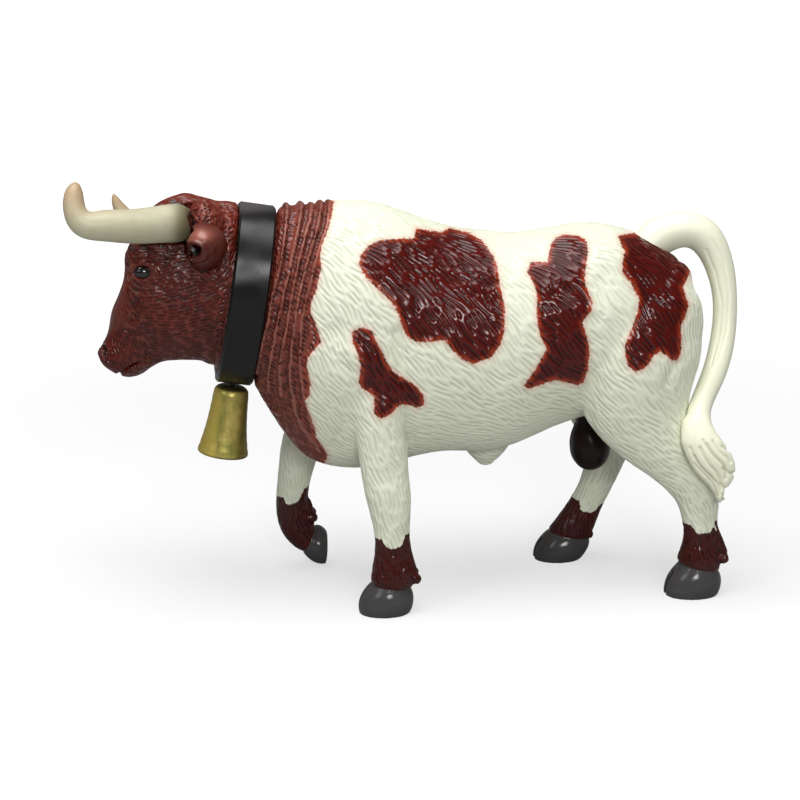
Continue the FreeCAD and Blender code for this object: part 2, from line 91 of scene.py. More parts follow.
# Body halves
# Two solid mouldings of soft white plastic, glued along the middle plane, with the legs in one with them.
# The maker carved the muscles, the neck's folds and thousands of short hair strokes in the mould, then
# sprayed the coat's patches through stencils, which leaves an orange edge and a pink haze round each.

# One pixel of the photograph covers this much of the animal, in millimetres
pixel_mm = 0.225


def moulding(name, nodes, voxel_mm, added=()):
    """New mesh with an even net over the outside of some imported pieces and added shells."""
    bpy.ops.object.select_all(action="DESELECT")
    copies = list(added)
    for piece in copies:
        piece.select_set(True)
    for node in nodes:
        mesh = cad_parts[node].data.copy()
        mesh.materials.clear()
        work = bmesh.new()
        work.from_mesh(mesh)
        bmesh.ops.remove_doubles(work, verts=work.verts[:], dist=1e-7)
        work.to_mesh(mesh)
        work.free()
        piece = bpy.data.objects.new(name, mesh)
        bpy.context.scene.collection.objects.link(piece)
        piece.select_set(True)
        copies.append(piece)
    bpy.context.view_layer.objects.active = copies[0]
    if len(copies) > 1:
        bpy.ops.object.join()
    piece = bpy.context.view_layer.objects.active
    net = piece.modifiers.new("even net", "REMESH")
    net.mode = "VOXEL"
    net.voxel_size = voxel_mm * MM
    bpy.ops.object.modifier_apply(modifier=net.name)
    piece.name = name
    return piece


def read_points(mesh):
    """Vertices of a mesh in millimetres."""
    values = np.empty(len(mesh.vertices) * 3, dtype=np.float32)
    mesh.vertices.foreach_get("co", values)
    return values.reshape(-1, 3).astype(np.float64) / MM


def read_normals(mesh):
    """Outward directions at the vertices of a mesh."""
    values = np.empty(len(mesh.vertices) * 3, dtype=np.float32)
    mesh.vertices.foreach_get("normal", values)
    return values.reshape(-1, 3).astype(np.float64)


def write_points(mesh, points):
    """Puts a mesh's vertices at places in millimetres."""
    mesh.vertices.foreach_set("co", (points * MM).astype(np.float32).ravel())
    mesh.update()


def smooth(mesh):
    """Shades a mesh as one rounded surface."""
    mesh.polygons.foreach_set("use_smooth", np.ones(len(mesh.polygons), dtype=bool))


def keep_value(mesh, name, values):
    """Stores one number for each vertex, for the paint to read."""
    layer = mesh.attributes.get(name) or mesh.attributes.new(name, "FLOAT", "POINT")
    layer.data.foreach_set("value", np.asarray(values, dtype=np.float32))


def relax(mesh, points, share, rounds):
    """Evens out a surface; share says how much each vertex gives way."""
    ends = np.empty(len(mesh.edges) * 2, dtype=np.int32)
    mesh.edges.foreach_get("vertices", ends)
    first, second = ends[0::2], ends[1::2]
    count = np.bincount(ends, minlength=len(points))[:, None]
    for _ in range(rounds):
        total = np.empty_like(points)
        for axis in range(3):
            total[:, axis] = np.bincount(first, points[second, axis], len(points))
            total[:, axis] += np.bincount(second, points[first, axis], len(points))
        points = points + (total / np.maximum(count, 1) - points) * share[:, None]
    return points


def evened(mesh, rounds):
    """Vertices in millimetres, after the whole mesh is evened out."""
    points = read_points(mesh)
    points = relax(mesh, points, np.full(len(points), 0.5), rounds)
    write_points(mesh, points)
    return points


def line_distance(pixels, line):
    """Distance in pixels from each point to a line of straight runs."""
    best = np.full(len(pixels), 1e9)
    for start, end in zip(np.array(line[:-1], float), np.array(line[1:], float)):
        run = end - start
        along = np.clip((pixels - start) @ run / max(run @ run, 1e-9), 0, 1)
        best = np.minimum(best, np.linalg.norm(pixels - start - along[:, None] * run, axis=1))
    return best


def inside_distance(pixels, outline):
    """Distance to a closed outline, above zero inside it."""
    closed = list(outline) + [outline[0]]
    inside = np.zeros(len(pixels), dtype=bool)
    for (x1, y1), (x2, y2) in zip(closed[:-1], closed[1:]):
        if y1 == y2:
            continue
        crosses = (y1 > pixels[:, 1]) != (y2 > pixels[:, 1])
        inside ^= crosses & (pixels[:, 0] < (x2 - x1) * (pixels[:, 1] - y1) / (y2 - y1) + x1)
    return line_distance(pixels, closed) * np.where(inside, 1.0, -1.0)


def bell_curve(distance, width):
    """One at the middle, falling away softly over a width."""
    return np.exp(-(distance / width) ** 2)


def ramp(value, start, end):
    """Smooth step from zero at start to one at end."""
    share = np.clip((value - start) / (end - start), 0, 1)
    return share * share * (3 - 2 * share)


def raise_forms(rise, pixels, forms, *shares):
    """Adds round forms, each given as place, radius and height; shares say where they show."""
    for x, y, radius, height in forms:
        form = height * bell_curve(np.linalg.norm(pixels - (x, y), axis=1), radius)
        for share in shares:
            form = form * share
        rise += form


def sink_lines(rise, pixels, lines, *shares):
    """Adds grooves, each given as depth, width and course; shares say where they show."""
    for depth, width, line in lines:
        groove = depth * bell_curve(line_distance(pixels, line), width)
        for share in shares:
            groove = groove * share
        rise -= groove


def heading_angles(pixels, marks):
    """Comb direction at each pixel, blended from marks of place and angle."""
    total = np.zeros((len(pixels), 2))
    for x, y, angle in marks:
        weight = 1 / (np.sum((pixels - (x, y)) ** 2, axis=1) + 60) ** 1.5
        turn = math.radians(angle * 2)
        total += weight[:, None] * np.array([math.cos(turn), math.sin(turn)])
    return np.arctan2(total[:, 1], total[:, 0]) / 2


def headings(normals, angles, side):
    """Directions along the surface that look like the given angles from the animal's side."""
    across = look_right[None, :] * np.cos(angles)[:, None]
    down = np.array([0.0, 0.0, -1.0])[None, :] * np.sin(angles)[:, None]
    way = across + down
    way[:, 1] *= side
    way = way - normals * np.sum(way * normals, axis=1)[:, None]
    return unit(way)


def comb(points, normals, ways, gap, reach, keep, seed):
    """Hair strokes laid side by side over a surface; each follows the comb until it nears another.
    Gives the samples along all strokes: place, direction, strength and half step."""
    stop_share, start_share = 0.66, 0.9
    longest_step = 0.36
    most_seeds = 6000
    chance = np.random.default_rng(seed)
    thin = np.arange(0, len(points), 2)
    tree = KDTree(len(thin))
    for index, vertex in enumerate(thin):
        tree.insert(points[vertex], index)
    tree.balance()
    places, dirs, ups = points[thin], ways[thin], normals[thin]
    gaps, reaches, keeps = gap[thin], reach[thin], keep[thin]
    cell = 1.0
    nearby = [(x, y, z) for x in (-1, 0, 1) for y in (-1, 0, 1) for z in (-1, 0, 1)]
    filled = {}
    found = []
    least = gap.min() * start_share

    def crowded(place, limit):
        x, y, z = place.tolist()
        cell_x, cell_y, cell_z = int(x // cell), int(y // cell), int(z // cell)
        square = limit * limit
        return any((x - other[0]) ** 2 + (y - other[1]) ** 2 + (z - other[2]) ** 2 < square
                   for move in nearby
                   for other in filled.get((cell_x + move[0], cell_y + move[1], cell_z + move[2]), ()))

    def trace(place, near, step, length, lean, bend):
        trail = []
        while len(trail) * abs(step) < length and keeps[near]:
            if trail and crowded(place, gaps[near] * stop_share):
                break
            way = dirs[near] + np.cross(ups[near], dirs[near]) * (lean + bend * len(trail))
            trail.append((place, way))
            place = place + way * step
            _, near, _ = tree.find(place)
            place = place - ups[near] * np.dot(place - places[near], ups[near])
        return trail

    seeds = iter(chance.permutation(np.flatnonzero(keeps))[:most_seeds])
    waiting = []
    while True:
        if waiting:
            pick = int(chance.integers(len(waiting)))
            waiting[pick], waiting[-1] = waiting[-1], waiting[pick]
            place = waiting.pop()
            if crowded(place, least):
                continue
            _, near, _ = tree.find(place)
        else:
            near = next(seeds, None)
            if near is None:
                break
            place = places[near]
        if not keeps[near] or crowded(place, gaps[near] * start_share):
            continue
        length = reaches[near] * chance.uniform(0.6, 1.3)
        step = min(longest_step, length / 5)
        lean, bend = chance.normal(0, 0.04), chance.normal(0, 0.008)
        behind = trace(place, near, -step, length * chance.uniform(0.2, 0.8), lean, bend)
        ahead = trace(place, near, step, length - len(behind) * step, lean, bend)
        trail = behind[::-1] + ahead[1:]
        if len(trail) * step < min(0.8, length * 0.4):
            continue
        strength = chance.uniform(0.6, 1.0)
        side_gap = gaps[near]
        for index, (spot, way) in enumerate(trail):
            share = (index + 0.5) / len(trail)
            taper = min(1.0, 5 * share, 4 * (1 - share))
            found.append((*spot, *way, strength * taper, step / 2))
            x, y, z = spot.tolist()
            filled.setdefault((int(x // cell), int(y // cell), int(z // cell)), []).append((x, y, z))
        for spot, way in trail[::3]:
            _, near, _ = tree.find(spot)
            across = np.cross(ups[near], way) * side_gap
            waiting.extend((spot + across, spot - across))
    return np.array(found)


def groove_depths(points, normals, strokes, width):
    """How deep in a hair stroke each vertex lies, from zero to one."""
    reach = 0.7
    shift, row = 1024, 4096
    cells = np.floor(strokes[:, :3] / reach).astype(np.int64)
    spread = np.array([1, row, row * row], dtype=np.int64)
    keys = (cells + shift) @ spread
    order = np.argsort(keys)
    keys, sorted_strokes = keys[order], strokes[order]
    own = np.floor(points / reach).astype(np.int64) + shift
    depth = np.zeros(len(points))
    for dx in (-1, 0, 1):
        for dy in (-1, 0, 1):
            for dz in (-1, 0, 1):
                wanted = (own + (dx, dy, dz)) @ spread
                low = np.searchsorted(keys, wanted, "left")
                high = np.searchsorted(keys, wanted, "right")
                while True:
                    rows = np.flatnonzero(low < high)
                    if len(rows) == 0:
                        break
                    stroke = sorted_strokes[low[rows]]
                    away = points[rows] - stroke[:, :3]
                    away = away - normals[rows] * np.sum(away * normals[rows], axis=1)[:, None]
                    along = np.clip(np.sum(away * stroke[:, 3:6], axis=1), -stroke[:, 7], stroke[:, 7])
                    away = away - stroke[:, 3:6] * along[:, None]
                    apart = np.linalg.norm(away, axis=1)
                    core, slope = bell_curve(apart, width), bell_curve(apart, width * 2.1)
                    value = stroke[:, 6] * (0.62 * core + 0.38 * slope)
                    depth[rows] = np.maximum(depth[rows], value)
                    low[rows] += 1
    return depth


# Places in the photograph of the neck's folds, from the top of the neck to the brisket
neck_folds = [
    [(288, 196), (286.9, 215), (285, 232), (281, 263), (276, 284), (272, 298), (268, 320), (262, 345),
     (256, 372)],
    [(303, 196), (300.6, 216), (297.8, 234), (294.3, 249), (290.8, 264), (285, 288), (281, 309),
     (276, 332), (272, 352), (268, 374), (268, 392)],
    [(313.5, 196), (310.4, 218), (306.2, 231), (302, 248), (298.5, 263), (294, 286), (290, 308),
     (286, 330), (282, 350), (279, 372), (280, 396)],
    [(322.5, 196), (318.8, 223), (315.3, 236), (311, 250), (307, 263), (303.4, 277), (300, 291),
     (296.4, 309), (294, 330), (291.5, 351), (289.6, 367), (290.3, 384), (294, 412), (300.5, 429),
     (310, 441), (318, 452)],
    [(331, 196), (327, 225), (321, 243), (315, 262), (311, 282), (306, 300), (302, 320), (300, 345),
     (300, 370), (302, 392), (307, 412), (312, 430)],
]

# Outline of the brown neck, closed round the hidden part under the collar
neck_brown = [
    (335, 188), (334, 199), (332, 214), (328, 230), (322, 245), (320, 257), (321, 266), (317, 287),
    (311, 302), (310, 312), (315, 325), (321, 342), (315, 348), (307, 358), (306, 368), (310, 383),
    (309, 396), (304, 402), (309, 413), (315, 431), (315, 438), (328, 456), (322, 468), (300, 480),
    (200, 420), (190, 300), (220, 180),
]

# Outlines of the coat's patches on the left side, as the photograph shows them
left_patches = [
    [(416, 228), (442, 232), (450, 227), (471, 233), (483, 241), (493, 255), (497, 266), (500, 287),
     (505, 310), (504, 331), (500, 345), (490, 358), (473, 364), (462, 359), (452, 350), (444, 340),
     (429, 342), (416, 342), (406, 335), (401, 323), (398, 314), (391, 302), (379, 291), (366, 278),
     (359, 266), (360, 257), (368, 246), (381, 240), (397, 239), (414, 238)],
    [(353, 331), (363, 327), (372, 331), (377, 343), (382, 352), (387, 362), (393, 371), (402, 378),
     (416, 386), (424, 396), (424, 405), (416, 409), (402, 404), (395, 408), (391, 414), (381, 419),
     (374, 414), (374, 404), (374, 396), (361, 387), (359, 381), (361, 366), (357, 352), (352, 341)],
    [(551, 243), (556, 237), (566, 234), (578, 235), (587, 241), (588, 253), (586, 266), (585, 281),
     (593, 302), (591, 312), (583, 322), (589, 343), (590, 352), (588, 371), (584, 383), (578, 386),
     (568, 383), (556, 380), (545, 383), (532, 388), (527, 389), (524, 385), (535, 369), (546, 349),
     (539, 333), (536, 318), (537, 299), (535, 287), (527, 272), (531, 262), (547, 262), (549, 253)],
    [(618, 237), (625, 234), (641, 232), (656, 235), (671, 241), (683, 251), (690, 260), (691, 268),
     (688, 278), (683, 287), (685, 297), (688, 306), (686, 316), (682, 325), (682, 343), (681, 352),
     (677, 361), (671, 360), (660, 351), (653, 355), (648, 363), (643, 368), (635, 371), (628, 366),
     (625, 356), (625, 344), (633, 325), (638, 310), (639, 299), (631, 283), (622, 272), (622, 262),
     (624, 253), (620, 246)],
]

# Patches of the hidden right side, of the same kind, drawn as if seen in a mirror
right_patches = [
    [(372, 238), (398, 230), (424, 236), (446, 232), (462, 244), (466, 262), (458, 280), (462, 300),
     (452, 322), (436, 330), (424, 322), (410, 326), (396, 314), (392, 296), (380, 284), (366, 268),
     (362, 250)],
    [(486, 262), (502, 250), (520, 254), (534, 266), (538, 286), (530, 304), (534, 326), (528, 350),
     (514, 368), (498, 372), (486, 360), (490, 342), (482, 322), (476, 300), (480, 280)],
    [(350, 352), (366, 346), (378, 356), (386, 374), (402, 388), (408, 402), (396, 412), (380, 404),
     (364, 398), (352, 384), (346, 366)],
    [(588, 240), (612, 234), (640, 238), (664, 246), (680, 262), (682, 284), (670, 300), (674, 322),
     (664, 346), (648, 352), (638, 338), (626, 344), (614, 330), (618, 308), (606, 290), (590, 276),
     (584, 256)],
]

# Comb directions of the coat: place in the photograph, then degrees down from level
coat_comb = [
    (345, 212, 30), (345, 245, 38), (350, 280, 50), (350, 320, 55), (345, 360, 58), (340, 400, 50),
    (350, 440, 48), (380, 300, 50), (390, 360, 58), (385, 400, 62), (380, 450, 68), (380, 500, 72),
    (382, 545, 74), (430, 235, 30), (430, 280, 50), (440, 325, 60), (430, 370, 44), (430, 410, 24),
    (440, 440, 18), (500, 240, 32), (500, 300, 54), (500, 350, 52), (500, 400, 34), (500, 440, 22),
    (550, 240, 32), (550, 300, 50), (550, 350, 46), (550, 400, 32), (560, 422, 26), (600, 240, 28),
    (600, 300, 56), (610, 350, 50), (600, 400, 48), (620, 440, 40), (650, 240, 28), (660, 290, 58),
    (650, 340, 52), (650, 400, 46), (660, 440, 34), (680, 470, 30), (696, 500, 62), (700, 550, 78),
    (690, 262, 60), (697, 320, 78), (690, 370, 84), (305, 500, 82), (305, 560, 70), (602, 500, 112),
    (590, 550, 108),
]

# Muscles and hollows: place in the photograph, radius there in pixels and height in millimetres
coat_muscles = [
    (372, 292, 42, 0.9), (352, 376, 24, 0.5), (393, 404, 15, 0.5), (336, 330, 12, -0.4),
    (614, 252, 19, 0.8), (600, 288, 18, -0.7), (640, 372, 42, 1.0), (575, 405, 24, -0.4),
    (682, 300, 16, 0.4), (520, 330, 60, 0.5), (388, 508, 11, 0.45), (386, 478, 12, -0.2),
    (462, 330, 40, 0.3), (664, 452, 20, 0.4), (697, 487, 10, 0.3),
]

# The same for the outline of the rump and back, where the coat faces away from the camera
profile_muscles = [(688, 256, 13, 1.5), (706, 338, 22, -1.3), (700, 300, 10, 0.3)]

# Creases in the coat: depth in millimetres, width in pixels and places in the photograph
coat_creases = [
    (0.7, 6, [(396, 334), (402, 360), (408, 398), (411, 440)]),
    (0.55, 9, [(590, 322), (593, 360), (592, 398), (585, 428)]),
    (0.45, 4.5, [(676, 363), (668, 378), (664, 388), (668, 402), (674, 424)]),
    (0.35, 4, [(344, 356), (350, 388), (346, 424), (332, 448)]),
]

# Hooves and dark fetlocks of each leg: x and z of their tops in front and behind, in millimetres
leg_tops = {
    "left fore": {"coronet": ((-10.9, 6.8), (-2.0, 5.6)), "sock": ((-10.6, 17.4), (-2.0, 18.6))},
    "right fore": {"coronet": ((-24.0, 3.3), (-20.7, 9.6)), "sock": ((-29.8, 17.4), (-22.0, 20.0))},
    "left hind": {"coronet": ((59.5, 7.6), (68.9, 5.6)), "sock": ((59.4, 17.0), (68.2, 17.8))},
    "right hind": {"coronet": ((34.6, 6.9), (45.0, 4.9)), "sock": ((39.5, 15.2), (48.4, 13.4))},
}


def leg_rise(points, name, part):
    """Height of each vertex over the slanting top of a hoof or dark fetlock, in millimetres."""
    (front_x, front_z), (rear_x, rear_z) = leg_tops[name][part]
    way = unit(np.array([rear_x - front_x, rear_z - front_z]))
    up = np.array([-way[1], way[0]])
    return (points[:, [0, 2]] - (front_x, front_z)) @ up


def side_pixels(points):
    """Pixels of the photograph, with the right side mirrored on the left."""
    folded = points.copy()
    folded[:, 1] = middle_y - np.abs(points[:, 1] - middle_y)
    return photo_points(folded)


# Dewclaw flaps: place in the photograph of each one's top and bottom, depth, thickness at top and bottom
claw_flaps = [
    ((407, 545), (414, 578), -22.6, 0.7, 1.15), ((407, 545), (413, 577), -19.0, 0.7, 1.15),
    ((714, 524), (722, 551), -19.6, 0.8, 1.35), ((714, 524), (721, 551), -16.2, 0.8, 1.35),
    ((308, 500), (311, 511), 11.4, 0.7, 0.9), ((308, 500), (311, 511), 14.6, 0.7, 0.9),
    ((586, 519), (586, 535), 8.4, 0.7, 1.0), ((586, 519), (586, 535), 11.6, 0.7, 1.0),
]


def from_photo(pixel, depth_y):
    """Place on the line of sight through a pixel where y has the given value, in millimetres."""
    across = (pixel[0] - photo_side / 2) * sensor_mm / photo_side / lens_mm
    down = (pixel[1] - photo_side / 2) * sensor_mm / photo_side / lens_mm
    way = look + look_right * across - look_up * down
    return camera_place + way * (depth_y - camera_place[1]) / way[1]


def ball(name, centre, radii, turns=48, rows=32):
    """Round closed shell at a place, in millimetres."""
    bpy.ops.mesh.primitive_uv_sphere_add(segments=turns, ring_count=rows, radius=1.0)
    piece = bpy.context.view_layer.objects.active
    piece.name = name
    piece.data.transform(Matrix.Diagonal(Vector(radii) * MM).to_4x4())
    piece.data.transform(Matrix.Translation(Vector(centre) * MM))
    bpy.ops.object.shade_smooth()
    return piece


def string_of_balls(name, start, end, first_radius, last_radius, steps=8):
    """Overlapping balls along a line, which the even net makes one form of."""
    made = []
    for share in np.linspace(0, 1, steps):
        radius = first_radius + (last_radius - first_radius) * share
        made.append(ball(name, start + (end - start) * share, (radius, radius, radius), 24, 16))
    return made


# Even net and stroke width in millimetres, random seed of the strokes and triangles of the whole coat
body_net = 0.28
coat_stroke = 0.24
coat_seed = 11
coat_triangles = 730000

flaps = []
for top, bottom, depth_y, first_radius, last_radius in claw_flaps:
    ends = from_photo(top, depth_y), from_photo(bottom, depth_y)
    flaps += string_of_balls("dewclaw", *ends, first_radius, last_radius)
body = moulding("cow_body", ["body_left_half", "body_right_half"], body_net, flaps)
mesh = body.data
points = read_points(mesh)
# The hooves and fetlocks keep their edges, and the rest is evened out
upper = ramp(points[:, 2], 14, 24)
points = relax(mesh, points, 0.08 + 0.5 * upper, 16)
write_points(mesh, points)
normals = read_normals(mesh)
pixels = side_pixels(points)
left = points[:, 1] < middle_y
trunk = ramp(points[:, 2], 24, 32)
seen = ramp(np.abs(normals[:, 1]), 0.05, 0.5)

rise = np.zeros(len(points))
raise_forms(rise, pixels, coat_muscles, trunk, seen)
raise_forms(rise, pixels, profile_muscles, trunk)
sink_lines(rise, pixels, coat_creases, trunk, seen)

# On the hidden right side the brown neck ends along a slanting, wavy line
neck = inside_distance(pixels, neck_brown) * pixel_mm
off_middle = np.abs(points[:, 1] - middle_y)
right_edge = (points[:, 2] - 29 - off_middle) * 0.7 + 0.8 * np.sin(off_middle * 0.8)
neck = np.where(left, neck, np.minimum(neck, right_edge))
neck_band = ramp(neck, -0.6, 0.8) * ramp(points[:, 2], 30, 36)
fold = np.min([line_distance(pixels, line) for line in neck_folds], axis=0)
waver = 0.75 + 0.25 * np.sin(pixels[:, 1] * 0.13 + pixels[:, 0] * 0.31)
rise += neck_band * (0.95 * waver * ramp(pixels[:, 1], 440, 350) * bell_curve(fold, 2.6) - 0.42)
points += normals * rise[:, None]
write_points(mesh, points)
normals = read_normals(mesh)

side = np.where(left, 1.0, -1.0)
angles = heading_angles(pixels, coat_comb)
angles = angles + 0.17 * np.sin(pixels[:, 0] * 0.11 + pixels[:, 1] * 0.08)
angles = angles + 0.13 * np.sin(pixels[:, 1] * 0.21 - pixels[:, 0] * 0.06)

# On the brown neck the strokes are short and lie close
on_neck = neck > 0.15
hatch = on_neck & (pixels[:, 1] < 420) & (pixels[:, 0] > 225)
angles = np.where(hatch, math.radians(48), angles)
ways = headings(normals, angles, side)

# Fore and hind legs are told apart by x, and their dark ends lie below one height, in millimetres
left_split, right_split = 25, 5
legs_top = 26

# Millimetres inside a hoof, a fetlock or a patch; far from all of them this much below zero
off_leg = -20.0
off_patch = -50.0
legs = {
    "left fore": left & (points[:, 0] < left_split),
    "right fore": ~left & (points[:, 0] < right_split),
    "left hind": left & (points[:, 0] >= left_split),
    "right hind": ~left & (points[:, 0] >= right_split),
}
hoof = np.full(len(points), off_leg)
sock = np.full(len(points), off_leg)
low = points[:, 2] < legs_top
for name, own in legs.items():
    own = own & low
    hoof[own] = -leg_rise(points[own], name, "coronet")
    sock[own] = -leg_rise(points[own], name, "sock")
    outward = np.abs(normals[own][:, 1])
    sock[own] -= 2.2 * ramp(outward, 0.75, 1.0)

keep = (hoof < -0.3) & ~(on_neck & (fold < 1.3)) & (points[:, 2] > 1.0)
gap = np.where(hatch, 0.74, np.where(sock > 0, 0.85, 0.98))
reach = np.where(hatch, 1.9, np.where(points[:, 2] < 40, 5.0, 6.5))
strokes = comb(points, normals, ways, gap, reach, keep, coat_seed)
groove = groove_depths(points, normals, strokes, coat_stroke)
patch = np.full(len(points), off_patch)
for outlines, own in ((left_patches, left), (right_patches, ~left)):
    for outline in outlines:
        patch[own] = np.maximum(patch[own], inside_distance(pixels[own], outline) * pixel_mm)
brown = np.maximum(patch, neck)
brown = np.where(low, off_patch, brown)
carve = np.where(hatch, 0.50, np.where(brown > 0, 0.36, 0.31))
shrink = bell_curve(hoof, 0.35) * 0.22
points = points - normals * (groove * carve + shrink)[:, None]
write_points(mesh, points)
# The groove depth also darkens the coat's paint here as painted shade.
keep_value(mesh, "groove", groove)
keep_value(mesh, "brown", brown)
keep_value(mesh, "sock", sock)
keep_value(mesh, "hoof", hoof)
# The fold distance gives the neck's paint a painted highlight.
keep_value(mesh, "fold", np.where(on_neck, np.minimum(fold, 7.4), 9.0))


def thin_out(piece, most):
    """Fewer triangles where the surface is plain."""
    bpy.context.view_layer.objects.active = piece
    facets = piece.modifiers.new("facets", "TRIANGULATE")
    bpy.ops.object.modifier_apply(modifier=facets.name)
    count = len(piece.data.polygons)
    if count > most:
        fewer = piece.modifiers.new("fewer", "DECIMATE")
        fewer.ratio = most / count
        bpy.ops.object.modifier_apply(modifier=fewer.name)
        facets = piece.modifiers.new("facets", "TRIANGULATE")
        bpy.ops.object.modifier_apply(modifier=facets.name)


def read_value(mesh, name):
    """Numbers stored for each vertex."""
    values = np.empty(len(mesh.vertices), dtype=np.float32)
    mesh.attributes[name].data.foreach_get("value", values)
    return values


def cut_plane(piece, place, way):
    """Adds edges where a plane crosses a piece."""
    work = bmesh.new()
    work.from_mesh(piece.data)
    everything = work.verts[:] + work.edges[:] + work.faces[:]
    bmesh.ops.bisect_plane(work, geom=everything, plane_co=Vector(place) * MM, plane_no=way, dist=1e-7)
    bmesh.ops.triangulate(work, faces=work.faces[:])
    work.to_mesh(piece.data)
    work.free()


def triangle_middles(mesh):
    """Middle of each triangle in millimetres."""
    corners = np.empty(len(mesh.loops), dtype=np.int32)
    mesh.loops.foreach_get("vertex_index", corners)
    return read_points(mesh)[corners.reshape(-1, 3)].mean(axis=1)


def part_of(source, name, chosen):
    """Own closed mesh of the chosen triangles, which keeps the shading of the whole at its edge."""
    mesh = source.data
    corners = np.empty(len(mesh.loops), dtype=np.int32)
    mesh.loops.foreach_get("vertex_index", corners)
    faces = corners.reshape(-1, 3)[chosen]
    used, places = np.unique(faces, return_inverse=True)
    part = bpy.data.meshes.new(name)
    part.from_pydata(read_points(mesh)[used] * MM, [], places.reshape(-1, 3))
    shade = np.stack([read_value(mesh, "shade_" + axis) for axis in "xyz"], axis=1)[used]
    for layer in list(mesh.attributes):
        if layer.data_type == "FLOAT" and layer.domain == "POINT":
            keep_value(part, layer.name, read_value(mesh, layer.name)[used])
    work = bmesh.new()
    work.from_mesh(part)
    edges = [edge for edge in work.edges if edge.is_boundary]
    lids = bmesh.ops.holes_fill(work, edges=edges, sides=0)["faces"]
    bmesh.ops.triangulate(work, faces=lids)
    bmesh.ops.recalc_face_normals(work, faces=work.faces[:])
    work.to_mesh(part)
    work.free()
    smooth(part)
    part.normals_split_custom_set_from_vertices(shade.tolist())
    piece = bpy.data.objects.new(name, part)
    bpy.context.scene.collection.objects.link(piece)
    return piece


# The coat is shown as four pieces, parted along the middle and at the flank
flank_x = 13.0
thin_out(body, coat_triangles)
cut_plane(body, (0, middle_y, 0), (0, 1, 0))
for axis, values in zip("xyz", read_normals(body.data).T):
    keep_value(body.data, "shade_" + axis, values)
coat_pieces = []
on_left = triangle_middles(body.data)[:, 1] < middle_y
for side_name, chosen in (("left", on_left), ("right", ~on_left)):
    half = part_of(body, "coat_" + side_name, chosen)
    cut_plane(half, (flank_x, 0, 0), (1, 0, 0))
    in_front = triangle_middles(half.data)[:, 0] < flank_x
    for end_name, chosen in (("fore", in_front), ("hind", ~in_front)):
        piece = part_of(half, "coat_" + side_name + "_" + end_name, chosen)
        for axis in "xyz":
            piece.data.attributes.remove(piece.data.attributes["shade_" + axis])
        coat_pieces.append((piece, "body_" + side_name + "_half"))
    bpy.data.objects.remove(half)
bpy.data.objects.remove(body)


def colour(code):
    """Linear colour of an sRGB hex value."""
    shares = [int(code[place:place + 2], 16) / 255 for place in (1, 3, 5)]
    linear = [share / 12.92 if share <= 0.04045 else ((share + 0.055) / 1.055) ** 2.4 for share in shares]
    return linear + [1.0]


def add_node(tree, kind, inputs=None, **settings):
    """One node with its settings; inputs are values or the outputs of other nodes."""
    made = tree.nodes.new(kind)
    for name, value in settings.items():
        setattr(made, name, value)
    for key, value in (inputs or {}).items():
        if isinstance(value, bpy.types.NodeSocket):
            tree.links.new(value, made.inputs[key])
        else:
            made.inputs[key].default_value = value
    return made


def new_paint(name):
    """New material with its node tree and its shader."""
    material = bpy.data.materials.new(name)
    material.use_nodes = True
    tree = material.node_tree
    return material, tree, tree.nodes["Principled BSDF"]


def stepped(tree, value, low, high, out_low=0.0, out_high=1.0):
    """Smooth step of a number between two limits."""
    return add_node(tree, "ShaderNodeMapRange", {
        "Value": value, "From Min": low, "From Max": high, "To Min": out_low, "To Max": out_high,
    }, interpolation_type="SMOOTHSTEP").outputs["Result"]


def mixed(tree, share, first, second):
    """Colour between two colours."""
    return add_node(tree, "ShaderNodeMix", {"Factor": share, "A": first, "B": second},
                    data_type="RGBA").outputs["Result"]


def washed(tree, base, code, value, low, high, most=1.0):
    """Colour with a second one laid over it where a number goes from low to high."""
    return mixed(tree, stepped(tree, value, low, high, 0.0, most), base, colour(code))


def stored(tree, name):
    """Number that the mesh stores for each vertex."""
    return add_node(tree, "ShaderNodeAttribute", attribute_name=name).outputs["Fac"]


def own_place(tree):
    """Place on the piece, in metres."""
    return add_node(tree, "ShaderNodeTexCoord").outputs["Object"]


def stretched(tree, place, scale, rotation=(0.0, 0.0, 0.0)):
    """Place drawn out along an axis, for grain and scratches."""
    drawn = add_node(tree, "ShaderNodeMapping", {"Vector": place, "Rotation": rotation, "Scale": scale})
    return drawn.outputs[0]


def noise(tree, place, scale, detail=2.0):
    """Uneven number between zero and one, finer with a larger scale."""
    made = add_node(tree, "ShaderNodeTexNoise", {"Vector": place, "Scale": scale, "Detail": detail})
    return made.outputs["Fac"]


def calculated(tree, operation, first, second):
    """Result of a calculation with two numbers."""
    return add_node(tree, "ShaderNodeMath", {0: first, 1: second}, operation=operation).outputs[0]


def bumped(tree, shader, height, strength, distance):
    """Gives a paint a fine relief, its distance in metres."""
    bump = add_node(tree, "ShaderNodeBump", {"Height": height, "Strength": strength, "Distance": distance})
    tree.links.new(bump.outputs["Normal"], shader.inputs["Normal"])


